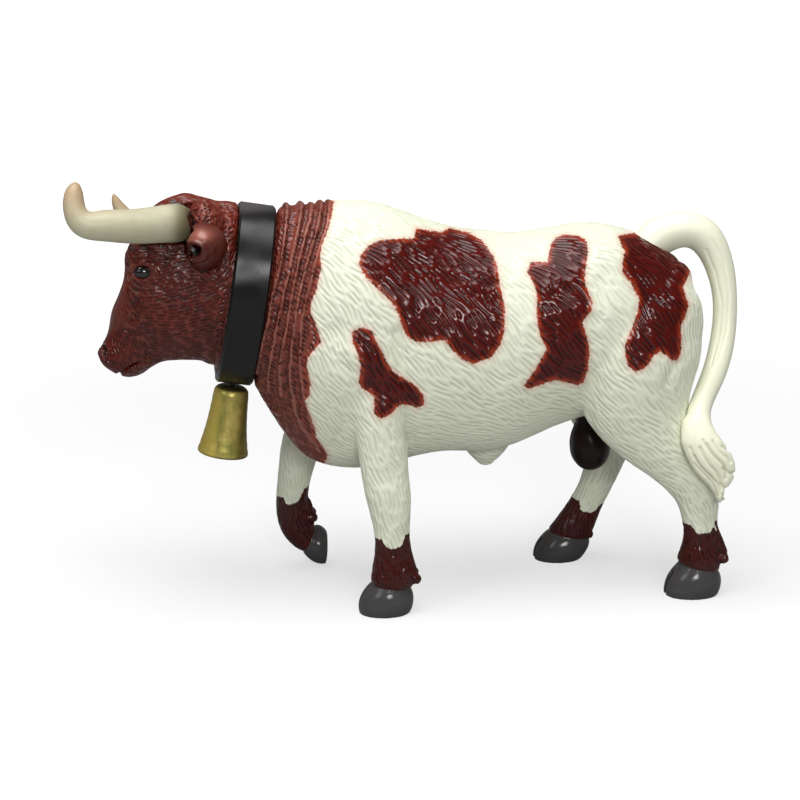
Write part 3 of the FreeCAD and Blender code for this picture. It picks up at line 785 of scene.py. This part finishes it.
def coat_paint():
    """Satin paint on soft plastic: cream coat, sprayed red-brown patches, dark fetlocks and grey hooves,
    with painted shade in the hair strokes and a painted pink highlight on the brown neck.
    """
    material, tree, shader = new_paint("satin_coat_paint")
    value = {name: stored(tree, name) for name in ("groove", "brown", "sock", "hoof", "fold")}
    place = own_place(tree)
    grit = noise(tree, place, 1900.0, 3.0)
    cloud = noise(tree, place, 160.0, 3.0)
    ragged = calculated(tree, "MULTIPLY", calculated(tree, "SUBTRACT", grit, 0.5), 0.9)
    edge = calculated(tree, "ADD", value["brown"], ragged)
    cream = mixed(tree, cloud, colour("#dfe3cb"), colour("#eceedb"))
    # Painted shade: the cream darkens in the hair strokes.
    cream = washed(tree, cream, "#9da084", value["groove"], 0.2, 1.0, 0.34)
    cream = washed(tree, cream, "#d8887a", edge, -1.3, 0.0, 0.34)
    red = mixed(tree, cloud, colour("#420501"), colour("#5a0b02"))
    red = washed(tree, red, "#a33a1c", edge, 1.5, 0.15, 0.8)
    # Painted highlight: the brown neck is lightened pink all over, and more along the crests of its folds.
    red = washed(tree, red, "#9a5142", value["fold"], 8.5, 7.5, 0.5)
    red = washed(tree, red, "#b07f70", value["fold"], 2.6, 0.8, 0.3)
    # Painted shade: the red darkens in the hair strokes.
    red = washed(tree, red, "#280201", value["groove"], 0.15, 0.8, 0.9)
    coat = mixed(tree, stepped(tree, edge, -0.18, 0.18), cream, red)
    dark = mixed(tree, cloud, colour("#380902"), colour("#461107"))
    # Painted shade: the fetlock paint darkens further in the hair strokes.
    dark = washed(tree, dark, "#1c0604", value["groove"], 0.2, 0.9, 0.7)
    sock_edge = calculated(tree, "ADD", value["sock"], ragged)
    coat = mixed(tree, stepped(tree, sock_edge, -0.15, 0.15), coat, dark)
    horny = mixed(tree, cloud, colour("#3d3b3b"), colour("#4b4949"))
    coat = mixed(tree, stepped(tree, value["hoof"], -0.1, 0.1), coat, horny)
    tree.links.new(coat, shader.inputs["Base Color"])
    painted = calculated(tree, "MAXIMUM", value["brown"], value["sock"])
    tree.links.new(stepped(tree, painted, -0.3, 0.3, 0.42, 0.17), shader.inputs["Roughness"])
    shader.inputs["IOR"].default_value = 1.48
    shader.inputs["Specular IOR Level"].default_value = 0.40
    bumped(tree, shader, grit, 0.12, 0.0001)
    return material


coat_material = coat_paint()
for piece, node in coat_pieces:
    piece.data.materials.append(coat_material)
    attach(piece, "figurine")
    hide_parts(node)


# Head
# One moulding on a spigot under the collar, turned a little to the animal's right and tilted.
# It is sprayed red-brown all over, with curly hair on the poll, wrinkles round the eyes and short
# strokes on the cheeks, and its gloss picks out every ridge, helped by a painted highlight on the
# ridges and painted shade in the strokes.
head_pivot = np.array([-38.43, middle_y, 72.0])
head_turn = math.radians(-7.2)
head_tilt = math.radians(-10.0)
head_spin = np.array(Matrix.Rotation(head_tilt, 3, "X") @ Matrix.Rotation(head_turn, 3, "Z"))


def head_pixels(points):
    """Pixels of the photograph, with the head's right side mirrored on its left."""
    straight = (points - head_pivot) @ head_spin
    right_side = straight[:, 1] > 0
    straight[:, 1] = -np.abs(straight[:, 1])
    return photo_points(straight @ head_spin.T + head_pivot), right_side


# Comb directions, forms and lines of the head, given as those of the coat
head_comb = [
    (143, 250, -4), (165, 248, 8), (128, 258, 30), (118, 300, 62), (112, 330, 66), (160, 292, -16),
    (190, 290, -24), (212, 300, -22), (190, 330, -16), (160, 330, 4), (142, 346, 66), (120, 346, 74),
    (222, 340, -10), (200, 356, -8), (170, 352, -14), (226, 270, -55), (205, 275, 40), (170, 272, -24),
    (150, 290, 10),
]
head_forms = [
    (152, 297, 9, 0.5), (196, 318, 26, 0.7), (136, 312, 10, -0.4), (112, 352, 9, 0.3),
    (126, 360, 8, 0.35), (150, 245, 12, 0.5), (143, 272, 8.5, -1.0), (122, 290, 6, 0.3),
    (190, 268, 12, -0.5), (172, 212, 14, 0.5), (215, 345, 14, -0.3), (142, 352, 10, 0.3),
]
profile_forms = [(118, 313, 21, 1.15), (125, 256, 10, 0.5), (186, 195, 9, 0.45), (222, 199, 12, -1.0)]
mouth_lines = [(0.65, 1.5, [(117, 376), (122, 373.5), (127, 370.5), (131, 367.5), (136, 364.5)])]
head_lines = [
    (-0.55, 1.5, [(130, 270), (134, 265.5), (141, 263.5), (149, 265), (155, 270), (159, 274)]),
    (-0.45, 1.4, [(133, 276), (138, 281), (145, 282), (152, 279), (157, 275)]),
    (0.30, 1.2, [(126, 268), (130, 262), (139, 258.5), (150, 260), (161, 266)]),
    (0.26, 1.1, [(126, 258), (138, 253), (152, 254), (166, 259), (176, 262)]),
    (0.24, 1.1, [(127, 250), (142, 247), (158, 248), (176, 254)]),
    (0.22, 1.0, [(130, 243), (150, 240), (172, 244)]),
    (0.30, 1.1, [(131, 280), (137, 286), (146, 287), (155, 284)]),
    (0.26, 1.1, [(127, 280), (134, 290), (144, 293)]),
    (0.40, 2.2, [(137, 300), (133, 315), (127, 330)]),
    (0.60, 1.1, [(120, 373), (126, 370.5), (130, 367), (134, 365), (140, 362)]),
    (0.35, 1.1, [(100, 357), (107, 360), (114, 364), (120, 369)]),
]

# Even net and stroke width in millimetres, random seed and triangles, then places in the photograph
head_net = 0.23
head_stroke = 0.20
head_seed = 23
head_triangles = 190000
eye_pixel = (143, 272)
horn_root_left, horn_root_right = 197, 207

# A raised bed round the root of each horn
horn_beds = []
for node in ("left_horn", "right_horn"):
    points = read_points(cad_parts[node].data)
    pixels, _ = head_pixels(points)
    root = points[(pixels[:, 0] > horn_root_left) & (pixels[:, 0] < horn_root_right)]
    radius = np.linalg.norm((root - root.mean(axis=0))[:, 1:], axis=1).max()
    centre = root.mean(axis=0) + (0.9, 0.0, -0.2)
    horn_beds.append(ball(node + "_bed", centre, (4.1, radius * 1.06, radius * 0.98)))
head = moulding("head_moulding", ["head"], head_net, horn_beds)
mesh = head.data
points = evened(mesh, 10)
normals = read_normals(mesh)
pixels, right_side = head_pixels(points)
facing = ramp(np.abs((normals @ head_spin)[:, 1]), 0.05, 0.5)
aside = ramp(np.abs(((points - head_pivot) @ head_spin)[:, 1]), 1.0, 2.2)
nostril = [(100.5, 345), (103.5, 346), (105, 350), (104, 355)]
nostril_gap = line_distance(pixels, nostril)
rise = aside * (0.12 * bell_curve(nostril_gap - 3.4, 1.2) - 1.1 * bell_curve(nostril_gap, 2.0))
raise_forms(rise, pixels, head_forms, facing)
sink_lines(rise, pixels, head_lines, facing)
raise_forms(rise, pixels, profile_forms)
sink_lines(rise, pixels, mouth_lines)
points += normals * rise[:, None]
write_points(mesh, points)
normals = read_normals(mesh)

# Hair strokes, which swirl on the poll and leave the eye, the nostril and the nose smooth
poll = ramp(pixels[:, 1], 246, 226) * ramp(pixels[:, 0], 150, 165)
angles = heading_angles(pixels, head_comb)
swirl = np.sin(pixels[:, 0] * 0.42) * np.cos(pixels[:, 1] * 0.37) * 1.5
angles = angles + swirl * poll
ways = headings(normals, angles, np.where(right_side, -1.0, 1.0))
eye_gap = np.linalg.norm((pixels - eye_pixel) / (1.3, 1.0), axis=1)
nose = inside_distance(pixels, [(124, 282), (130, 298), (126, 318), (112, 338), (98, 342), (95, 330)])
keep = (eye_gap > 10) & (nostril_gap > 5)
gap = 0.74 + 0.16 * poll
reach = 2.8 - 0.6 * poll
strokes = comb(points, normals, ways, gap, reach, keep, head_seed)
groove = groove_depths(points, normals, strokes, head_stroke) * (1 - 0.75 * ramp(nose, -6, 3))
points = points - normals * (groove * (0.30 + 0.14 * poll))[:, None]
write_points(mesh, points)
keep_value(mesh, "groove", groove)
# Ring round the eye where the head's paint darkens as painted shade in the socket.
keep_value(mesh, "rim", bell_curve(eye_gap - 5.0, 3.2))
keep_value(mesh, "poll", poll)
keep_value(mesh, "snout", ramp(pixels[:, 0], 150, 112) * ramp(pixels[:, 1], 318, 345))
keep_value(mesh, "hollow", bell_curve(nostril_gap, 2.0) * aside)
# Line round each horn root where the head's paint darkens as painted shade of the gap between horn and
# head.
horn_gap_line = [(172, 203), (180, 205), (188, 210), (192.5, 219), (192.5, 228), (189, 238)]
keep_value(mesh, "seam", bell_curve(line_distance(pixels, horn_gap_line), 2.2) * facing)
thin_out(head, head_triangles)
smooth(head.data)


def head_paint():
    """Glossy red-brown spray, redder on the poll and behind the ear, with painted shade in the strokes,
    round the eyes and in the gap at the horn roots, and a painted highlight on the ridges.
    """
    material, tree, shader = new_paint("glossy_head_paint")
    value = {name: stored(tree, name) for name in ("groove", "rim", "poll", "snout", "hollow", "seam")}
    place = own_place(tree)
    cloud = noise(tree, place, 130.0, 4.0)
    grit = noise(tree, place, 2100.0)
    skin = mixed(tree, stepped(tree, cloud, 0.35, 0.65), colour("#4a1006"), colour("#621c0f"))
    skin = mixed(tree, value["poll"], skin, colour("#6e2618"))
    # Painted highlight: the ridges between hair strokes are lightened pink.
    skin = washed(tree, skin, "#8a5144", value["groove"], 0.25, 0.02, 0.3)
    skin = mixed(tree, value["snout"], skin, colour("#541004"))
    # Painted shade: the paint darkens in the hair strokes.
    skin = washed(tree, skin, "#200503", value["groove"], 0.15, 0.8, 0.75)
    # Painted shade round the eye, in its socket.
    skin = washed(tree, skin, "#2b1511", value["rim"], 0.2, 1.0, 0.35)
    skin = mixed(tree, value["hollow"], skin, colour("#120303"))
    # Painted shade in the gap at the horn roots.
    skin = mixed(tree, value["seam"], skin, colour("#0c0404"))
    tree.links.new(skin, shader.inputs["Base Color"])
    shader.inputs["Roughness"].default_value = 0.26
    shader.inputs["IOR"].default_value = 1.5
    shader.inputs["Specular IOR Level"].default_value = 0.38
    bumped(tree, shader, grit, 0.1, 0.0001)
    return material


head_material = head_paint()
head.data.materials.append(head_material)
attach(head, "figurine")
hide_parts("head")


# Eyes
# Small balls moulded in the head's sockets and painted glossy black; the dark rim round them is painted
# shade in the head's paint.
eye_radii = (2.1, 1.45, 1.55)
eye_depth = 0.25


def eye_paint():
    """Black enamel under a clear coat; the dark rim at the lids is painted shade in the head's paint."""
    material, tree, shader = new_paint("black_eye_enamel")
    grit = noise(tree, own_place(tree), 900.0)
    tree.links.new(mixed(tree, grit, colour("#050404"), colour("#120d0b")), shader.inputs["Base Color"])
    shader.inputs["Roughness"].default_value = 0.08
    shader.inputs["Coat Weight"].default_value = 0.6
    shader.inputs["Coat Roughness"].default_value = 0.05
    return material


eye_material = eye_paint()
head_points = read_points(head.data)
head_seen, head_right = head_pixels(head_points)
eye_miss = np.linalg.norm(head_seen - eye_pixel, axis=1) + 100 * head_right
eye_straight = (head_points[np.argmin(eye_miss)] - head_pivot) @ head_spin
for side_name, side in (("left", 1.0), ("right", -1.0)):
    straight = eye_straight * (1.0, side, 1.0) + np.array([0.0, side * eye_depth, 0.0])
    centre = straight @ head_spin.T + head_pivot
    eye = ball(side_name + "_eye", centre, eye_radii)
    eye.data.materials.append(eye_material)
    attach(eye, "figurine")


# Ears
# Short cups of the same plastic as the head, glued in behind the horns, open to the front.
# The hollow is near-black, and the outer lobe is smooth and glossy, with a painted highlight on it.
ear_net = 0.2
ear_slant = np.array([[0.94, -0.34], [0.34, 0.94]])
ear_hollow = (193, 251)
ear_hollow_radii = (9.5, 6.5)
ear_ridge = [(188, 247), (193, 251), (201, 253)]
ear_highlight_spot = (201, 235)


def ear_paint():
    """Glossy red-brown with a painted highlight on the lobe and a near-black hollow."""
    material, tree, shader = new_paint("glossy_ear_paint")
    cloud = noise(tree, own_place(tree), 300.0, 3.0)
    skin = mixed(tree, cloud, colour("#3e0d05"), colour("#5e2014"))
    # Painted highlight on the upper lobe.
    skin = mixed(tree, stored(tree, "lobe"), skin, colour("#9a5a4a"))
    skin = washed(tree, skin, "#0b0303", stored(tree, "hollow"), 0.3, 0.7)
    tree.links.new(skin, shader.inputs["Base Color"])
    shader.inputs["Roughness"].default_value = 0.3
    bumped(tree, shader, cloud, 0.15, 0.0002)
    return material


ear_material = ear_paint()
for node in ("left_ear", "right_ear"):
    ear = moulding(node + "_cup", [node], ear_net)
    mesh = ear.data
    points = evened(mesh, 6)
    normals = read_normals(mesh)
    pixels, _ = head_pixels(points)
    outer = ramp(np.abs((normals @ head_spin)[:, 1]), 0.0, 0.4)
    mouth = np.linalg.norm((pixels - ear_hollow) @ ear_slant / ear_hollow_radii, axis=1)
    rise = 0.45 * bell_curve(mouth - 1.35, 0.28) - 2.2 * bell_curve(mouth, 0.8)
    rise += 0.5 * bell_curve(line_distance(pixels, ear_ridge), 1.6)
    points = points + normals * (rise * outer)[:, None]
    write_points(mesh, points)
    keep_value(mesh, "hollow", bell_curve(mouth, 0.95) * outer)
    # Where the painted highlight sits on the upper lobe.
    keep_value(mesh, "lobe", bell_curve(np.linalg.norm((pixels - ear_highlight_spot) / (1.9, 1.0), axis=1), 7.0))
    smooth(mesh)
    mesh.materials.append(ear_material)
    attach(ear, "figurine")
    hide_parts(node)


# Horns
# Long tapering mouldings of ivory plastic, plugged in the skull; the dark line round each is painted
# shade on the head. They are rubbed with tan towards the tip and darkened at the root as painted shade.
horn_net = 0.35
horn_stations = 26
root_pixel, root_length = 175, 21


def horn_paint():
    """Satin ivory with tan towards the tip, from the distance along the horn, and painted shade at the
    root.
    """
    material, tree, shader = new_paint("satin_horn_ivory")
    place = own_place(tree)
    cloud = noise(tree, place, 220.0, 5.0)
    grain = noise(tree, stretched(tree, place, (120.0, 900.0, 900.0)), 1.0, 3.0)
    ivory = mixed(tree, cloud, colour("#b4b092"), colour("#cfcbb0"))
    ivory = washed(tree, ivory, "#a39c7a", grain, 0.55, 0.75, 0.25)
    ivory = mixed(tree, stored(tree, "tan"), ivory, colour("#b08c66"))
    # Painted shade: the horn darkens towards its root at the head.
    ivory = washed(tree, ivory, "#7d7558", stored(tree, "root"), 0.0, 1.0, 0.9)
    tree.links.new(ivory, shader.inputs["Base Color"])
    shader.inputs["Roughness"].default_value = 0.4
    bumped(tree, shader, grain, 0.2, 0.0001)
    return material


horn_material = horn_paint()
for node in ("left_horn", "right_horn"):
    horn = moulding(node + "_ivory", [node], horn_net)
    mesh = horn.data
    points = evened(mesh, 8)
    tip = points[np.argmax(points[:, 2])]
    away = np.linalg.norm(points - tip, axis=1)
    stations = np.linspace(0, away.max(), horn_stations)
    heart = np.array([points[np.abs(away - station) < 1.2].mean(axis=0) for station in stations])
    axis = np.stack([np.interp(away, stations, heart[:, part]) for part in range(3)], axis=1)
    pixels, _ = head_pixels(points)
    slim = np.sqrt(np.clip(1 - (np.maximum(pixels[:, 0] - root_pixel, 0) / root_length) ** 2, 0.03, 1))
    if node == "left_horn":
        points = axis + (points - axis) * slim[:, None]
        points = points + np.array([-1.2, 0.0, 0.0]) * ramp(pixels[:, 0], 170, 100)[:, None]
    else:
        points = axis + (points - axis) * (slim * (1 - 0.55 * ramp(away, 7, 0.5)))[:, None]
        sway = np.clip(tip[2] - points[:, 2], 0, 4) * 0.5 * ramp(away, 32, 12)
        points = points + np.array([1.0, 0.0, 0.0]) * sway[:, None]
    write_points(mesh, points)
    # Where the horn darkens towards the head as painted shade.
    keep_value(mesh, "root", ramp(pixels[:, 0], 160, 188))
    keep_value(mesh, "tan", 0.75 * bell_curve(away, 9.0) * ramp(points[:, 2], tip[2] - 12, tip[2] - 3))
    smooth(mesh)
    mesh.materials.append(horn_material)
    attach(horn, "figurine")
    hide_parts(node)


# Tail
# A separate moulding glued in the rump, smooth and pale, that swings to the left side.
# Its tuft is carved in a few wavy locks that end in points.
tail_net = 0.24
tuft_top = 46
lock_radii = (1.15, 0.45)
lock_ends = [((716, 442), (731, 462)), ((713, 462), (728, 485)), ((710, 482), (722, 498))]

# Grooves of the tail: depth in millimetres, width in pixels and places in the photograph
tail_locks = [
    (0.50, 1.3, [(700, 448), (704, 457), (709, 465), (716, 472), (720, 479), (721, 490)]),
    (0.45, 1.2, [(694, 456), (698, 464), (703, 470), (711, 477), (717, 484), (720, 495)]),
    (0.45, 1.2, [(707, 444), (710, 450), (714, 456), (722, 463), (726, 470), (726, 479)]),
    (0.40, 1.2, [(713, 441), (716, 446), (720, 452), (727, 457), (731, 462)]),
    (0.40, 1.1, [(694, 464), (699, 470), (706, 477), (713, 485), (717, 496)]),
    (0.35, 1.1, [(703, 440), (706, 446), (711, 452), (719, 460), (725, 466)]),
    (0.35, 1.1, [(690, 448), (694, 458), (700, 467), (708, 475), (714, 482)]),
    (0.22, 1.4, [(706, 250), (716, 275), (722, 305), (719, 335), (711, 365)]),
    (0.16, 1.2, [(712, 240), (724, 262), (729, 295), (727, 330), (718, 362)]),
    (0.7, 1.5, [(735, 474), (729, 473), (724, 469)]),
    (0.6, 1.4, [(731, 491), (725, 489), (721, 485)]),
    (0.5, 1.4, [(729, 450), (723, 446)]),
]

# The tuft's new form in pixels: rows, left and right edge there, the left edge's way to the rear, the lift
tuft_rows = [415, 421, 442, 463, 478, 487, 497, 510]
tuft_left = [688, 685.6, 687, 690.5, 695.5, 699.8, 704, 712]
tuft_right = [702, 706, 720, 733, 733, 729, 725, 720]
tuft_sweep = [0, -3.5, -4.5, 0, 3, 8, 10, 8]
tuft_lift = [0, 0, 0, 0, 0, 1, 3, 7]
tail_points = read_points(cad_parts["tail"].data)
tuft = tail_points[tail_points[:, 2] < 34]
depth_y = tuft[:, 1].mean() - 0.4
lock_points = []
for start, end in lock_ends:
    ends = from_photo(start, depth_y), from_photo(end, depth_y)
    lock_points += string_of_balls("tail_lock", *ends, *lock_radii, 12)
tail = moulding("tail_moulding", ["tail"], tail_net, lock_points)
mesh = tail.data
points = evened(mesh, 10)
pixels = photo_points(points)
edges = [np.interp(pixels[:, 1], tuft_rows, row) for row in (tuft_left, tuft_right)]
leftward = np.clip((edges[1] - pixels[:, 0]) / (edges[1] - edges[0]), 0, 1)
low = points[:, 2] < tuft_top
points[:, 0] += low * leftward * np.interp(pixels[:, 1], tuft_rows, tuft_sweep) * pixel_mm
points[:, 2] += low * np.interp(pixels[:, 1], tuft_rows, tuft_lift) * pixel_mm
write_points(mesh, points)
normals = read_normals(mesh)
pixels = photo_points(points)
back = ramp(normals[:, 1], 0.2, -0.2)
rise = np.zeros(len(points))
sink_lines(rise, pixels, tail_locks, np.where(points[:, 2] < tuft_top, 1.0, back))
points = points + normals * rise[:, None]
points = relax(mesh, points, 0.5 * ramp(pixels[:, 1], 478, 492), 8)
write_points(mesh, points)
# The groove depth also darkens the paint as painted shade.
keep_value(mesh, "groove", np.clip(-rise * 1.6, 0, 1))
smooth(mesh)


def tail_paint():
    """Satin cream, a little yellower than the coat, with painted shade in the grooves of its locks."""
    material, tree, shader = new_paint("satin_tail_cream")
    place = own_place(tree)
    cloud = noise(tree, place, 200.0, 3.0)
    grit = noise(tree, place, 1500.0)
    cream = mixed(tree, cloud, colour("#eef0d4"), colour("#f6f7e0"))
    # Painted shade: the cream darkens in the grooves.
    cream = washed(tree, cream, "#b0b090", stored(tree, "groove"), 0.1, 1.0, 0.28)
    tree.links.new(cream, shader.inputs["Base Color"])
    shader.inputs["Roughness"].default_value = 0.42
    bumped(tree, shader, grit, 0.1, 0.0001)
    return material


tail.data.materials.append(tail_paint())
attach(tail, "figurine")
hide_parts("tail")


# Scrotum
# A small moulding of dark plastic, glued between the thighs, painted glossy brown-black.
scrotum_net = 0.3
outline_drop = [0, 0.15, 0.35, 0.7, 1]
outline_shift = [-0.9, -0.9, 0.3, 0.9, 0.8]


def dark_paint():
    """Glossy brown-black paint with faint wrinkles."""
    material, tree, shader = new_paint("glossy_dark_skin")
    cloud = noise(tree, own_place(tree), 420.0, 4.0)
    tree.links.new(mixed(tree, cloud, colour("#090201"), colour("#1c0906")), shader.inputs["Base Color"])
    shader.inputs["Specular IOR Level"].default_value = 0.25
    shader.inputs["Roughness"].default_value = 0.28
    bumped(tree, shader, cloud, 0.25, 0.0003)
    return material


scrotum = moulding("scrotum_moulding", ["scrotum"], scrotum_net)
mesh = scrotum.data
points = evened(mesh, 8)
top, bottom = points[:, 2].max(), points[:, 2].min()
drop = (top - points[:, 2]) / (top - bottom)
forward = ramp(points[:, 0], points[:, 0].mean() + 2, points[:, 0].mean() - 2)
points[:, 0] += forward * np.interp(drop, outline_drop, outline_shift)
points[:, 0] += (1 - forward) * 0.4 * drop
points[:, 2] -= 0.8 * drop
write_points(mesh, points)
normals = read_normals(mesh)
seam = bell_curve(points[:, 1] - middle_y, 0.5) * 0.3
write_points(mesh, points - normals * seam[:, None])
smooth(mesh)
mesh.materials.append(dark_paint())
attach(scrotum, "figurine")
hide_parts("scrotum")


# Collar
# A wide band of plastic round the neck, painted glossy black, with a painted highlight along its top
# edge and a few hairline scratches. It stays as packed and only gets its paint.
collar_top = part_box("collar")[1][2]


def collar_paint():
    """Glossy black paint over grey-black plastic, with hairline scratches and a painted highlight along its
    top edge.
    """
    material, tree, shader = new_paint("glossy_collar_black")
    place = own_place(tree)
    cloud = noise(tree, place, 180.0, 4.0)
    scratch = noise(tree, stretched(tree, place, (2600.0, 300.0, 140.0), (0.3, 0.9, 0.2)), 1.0)
    wave = noise(tree, place, 70.0, 1.0)
    height = add_node(tree, "ShaderNodeSeparateXYZ", {0: place}).outputs["Z"]
    black = mixed(tree, cloud, colour("#060606"), colour("#0f100f"))
    black = washed(tree, black, "#4a4a48", scratch, 0.74, 0.8, 0.5)
    # Painted highlight: the top edge is lightened grey.
    black = washed(tree, black, "#5a5455", height, collar_top - 2.2 * MM, collar_top - 0.4 * MM, 0.7)
    tree.links.new(black, shader.inputs["Base Color"])
    shader.inputs["Specular IOR Level"].default_value = 0.34
    tree.links.new(stepped(tree, cloud, 0.3, 0.7, 0.24, 0.38), shader.inputs["Roughness"])
    bumped(tree, shader, wave, 0.35, 0.0016)
    return material


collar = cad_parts["collar"]
collar.data.materials.clear()
collar.data.materials.append(collar_paint())


# Bell
# A flared moulding under the collar, painted with brass-coloured metallic paint that is brushed
# unevenly, with black from the collar on its crown. It is turned from a profile about its leaning axis.
collar_lean = math.radians(9.0)
collar_middle = np.array([-36.73, middle_y, 69.0])
bell_crown = -20.85
bell_profile = [
    (0.0, 0.10), (1.6, 0.08), (2.7, -0.10), (3.45, -0.55), (3.85, -1.25), (3.95, -2.2), (4.05, -4.2),
    (4.3, -7.2), (4.65, -10.2), (5.1, -12.8), (5.5, -14.6), (5.68, -15.35), (5.6, -15.75), (5.3, -15.8),
    (4.9, -15.6), (4.6, -15.0), (4.3, -13.4), (3.2, -12.9), (0.0, -12.8),
]
bell_turns = 96
work = bmesh.new()
rings = []
for radius, drop in bell_profile:
    ring = []
    for step in range(bell_turns if radius else 1):
        angle = 2 * math.pi * step / bell_turns
        place = (radius * math.cos(angle), radius * math.sin(angle), bell_crown + drop)
        ring.append(work.verts.new(place))
    rings.append(ring)
for first, second in zip(rings[:-1], rings[1:]):
    for step in range(bell_turns):
        after = (step + 1) % bell_turns
        if len(first) == 1:
            work.faces.new((first[0], second[step], second[after]))
        elif len(second) == 1:
            work.faces.new((first[step], second[0], first[after]))
        else:
            work.faces.new((first[step], second[step], second[after], first[after]))
bmesh.ops.recalc_face_normals(work, faces=work.faces)
bell_mesh = bpy.data.meshes.new("bell_shell")
work.to_mesh(bell_mesh)
work.free()
bell = bpy.data.objects.new("bell_shell", bell_mesh)
bpy.context.scene.collection.objects.link(bell)
bpy.context.view_layer.objects.active = bell
finer = bell.modifiers.new("finer", "SUBSURF")
finer.levels = 2
finer.render_levels = 2
bpy.ops.object.modifier_apply(modifier=finer.name)

# The net above is in millimetres, and it comes to metres when the leaning bell is put in place
points = read_points(bell.data) * MM
wave = np.sin(points[:, 2] * 3.1 + np.arctan2(points[:, 1], points[:, 0]) * 2.0) * 0.05
points[:, :2] *= (1 + wave * 0.12)[:, None]
lean = np.array(Matrix.Rotation(collar_lean, 3, "Y"))
write_points(bell.data, points @ lean.T + collar_middle)
keep_value(bell.data, "crown", ramp(points[:, 2], bell_crown - 1.6, bell_crown - 0.1))
# Masks for painted shade at the lip and on the rear side, and a painted highlight on the front side.
keep_value(bell.data, "lip", ramp(points[:, 2], bell_crown - 15.0, bell_crown - 15.7))
keep_value(bell.data, "rear", ramp(points[:, 0], 1.6, 4.0))
keep_value(bell.data, "front", ramp(points[:, 0], -1.0, -3.6))
smooth(bell.data)


def bell_paint():
    """Brass-coloured metallic paint: fine flakes, brushed streaks, dark on the crown, painted shade at the
    lip and on the rear side, and a painted highlight on the front side.
    """
    material, tree, shader = new_paint("brass_metallic_paint")
    value = {name: stored(tree, name) for name in ("crown", "lip", "rear", "front")}
    place = own_place(tree)
    cloud = noise(tree, place, 260.0, 4.0)
    flake = noise(tree, place, 1600.0, 3.0)
    streak = noise(tree, stretched(tree, place, (700.0, 700.0, 45.0)), 1.0, 3.0)
    gold = mixed(tree, stepped(tree, cloud, 0.35, 0.65), colour("#989144"), colour("#c2ae5f"))
    gold = washed(tree, gold, "#7f8440", streak, 0.45, 0.7, 0.5)
    gold = washed(tree, gold, "#b9a65c", flake, 0.45, 0.7, 0.4)
    # Painted highlight: the front side is lightened.
    gold = washed(tree, gold, "#e4cc60", value["front"], 0.0, 1.0, 0.7)
    # Painted shade: the lip and the rear side are darkened.
    gold = washed(tree, gold, "#55501f", value["lip"], 0.0, 1.0, 0.7)
    gold = washed(tree, gold, "#4f4018", value["rear"], 0.0, 1.0, 0.5)
    gold = washed(tree, gold, "#15150f", value["crown"], 0.45, 0.9, 0.85)
    tree.links.new(gold, shader.inputs["Base Color"])
    shader.inputs["Metallic"].default_value = 0.55
    tree.links.new(stepped(tree, flake, 0.3, 0.7, 0.32, 0.46), shader.inputs["Roughness"])
    bumped(tree, shader, flake, 0.25, 0.0001)
    return material


bell.data.materials.append(bell_paint())
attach(bell, "bell")
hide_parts("bell")


# Floor and studio
# A white table that runs up behind as a white sheet, a wide soft light over the animal and a pale room.
bpy.ops.mesh.primitive_plane_add(size=6.0, location=(0.0, 0.0, 0.0))
floor = bpy.context.view_layer.objects.active
floor.name = "floor"
material, tree, shader = new_paint("white_table")
shader.inputs["Base Color"].default_value = colour("#a0a0a0")
shader.inputs["Roughness"].default_value = 0.9
rays = add_node(tree, "ShaderNodeLightPath")
away = add_node(tree, "ShaderNodeVectorMath", {0: own_place(tree)}, operation="LENGTH").outputs["Value"]
far = stepped(tree, away, 0.12, 0.6, 0.60, 1.0)
glow = calculated(tree, "MULTIPLY", far, rays.outputs["Is Camera Ray"])
white = add_node(tree, "ShaderNodeEmission", {"Color": (1.0, 1.0, 1.0, 1.0), "Strength": glow})
blend = add_node(tree, "ShaderNodeAddShader", {0: shader.outputs[0], 1: white.outputs[0]})
tree.links.new(blend.outputs[0], tree.nodes["Material Output"].inputs["Surface"])
floor.data.materials.append(material)

world = bpy.data.worlds.new("pale_room")
bpy.context.scene.world = world
world.use_nodes = True
tree = world.node_tree
rays = add_node(tree, "ShaderNodeLightPath")
straight = calculated(tree, "MAXIMUM", rays.outputs["Is Camera Ray"], rays.outputs["Is Transmission Ray"])
room = mixed(tree, straight, (0.17, 0.17, 0.17, 1.0), (1.0, 1.0, 1.0, 1.0))
tree.links.new(room, tree.nodes["Background"].inputs["Color"])


def lamp(name, place, target, size, power):
    """Soft square light, in metres and watts."""
    data = bpy.data.lights.new(name, "AREA")
    data.shape = "RECTANGLE"
    data.size, data.size_y = size
    data.energy = power
    made = bpy.data.objects.new(name, data)
    bpy.context.scene.collection.objects.link(made)
    made.location = place
    made.rotation_euler = (Vector(target) - Vector(place)).to_track_quat("-Z", "Y").to_euler()


lamp("top_light", (-0.10, -0.12, 0.75), (0.0, 0.0, 0.05), (0.7, 0.5), 6.0)
lamp("front_light", (-0.55, -0.45, 0.50), (0.0, 0.0, 0.05), (0.30, 0.30), 0.78)
lamp("side_light", (0.05, -0.90, 0.42), (0.0, 0.0, 0.05), (0.26, 0.18), 2.8)

bpy.context.scene.view_settings.view_transform = "Standard"
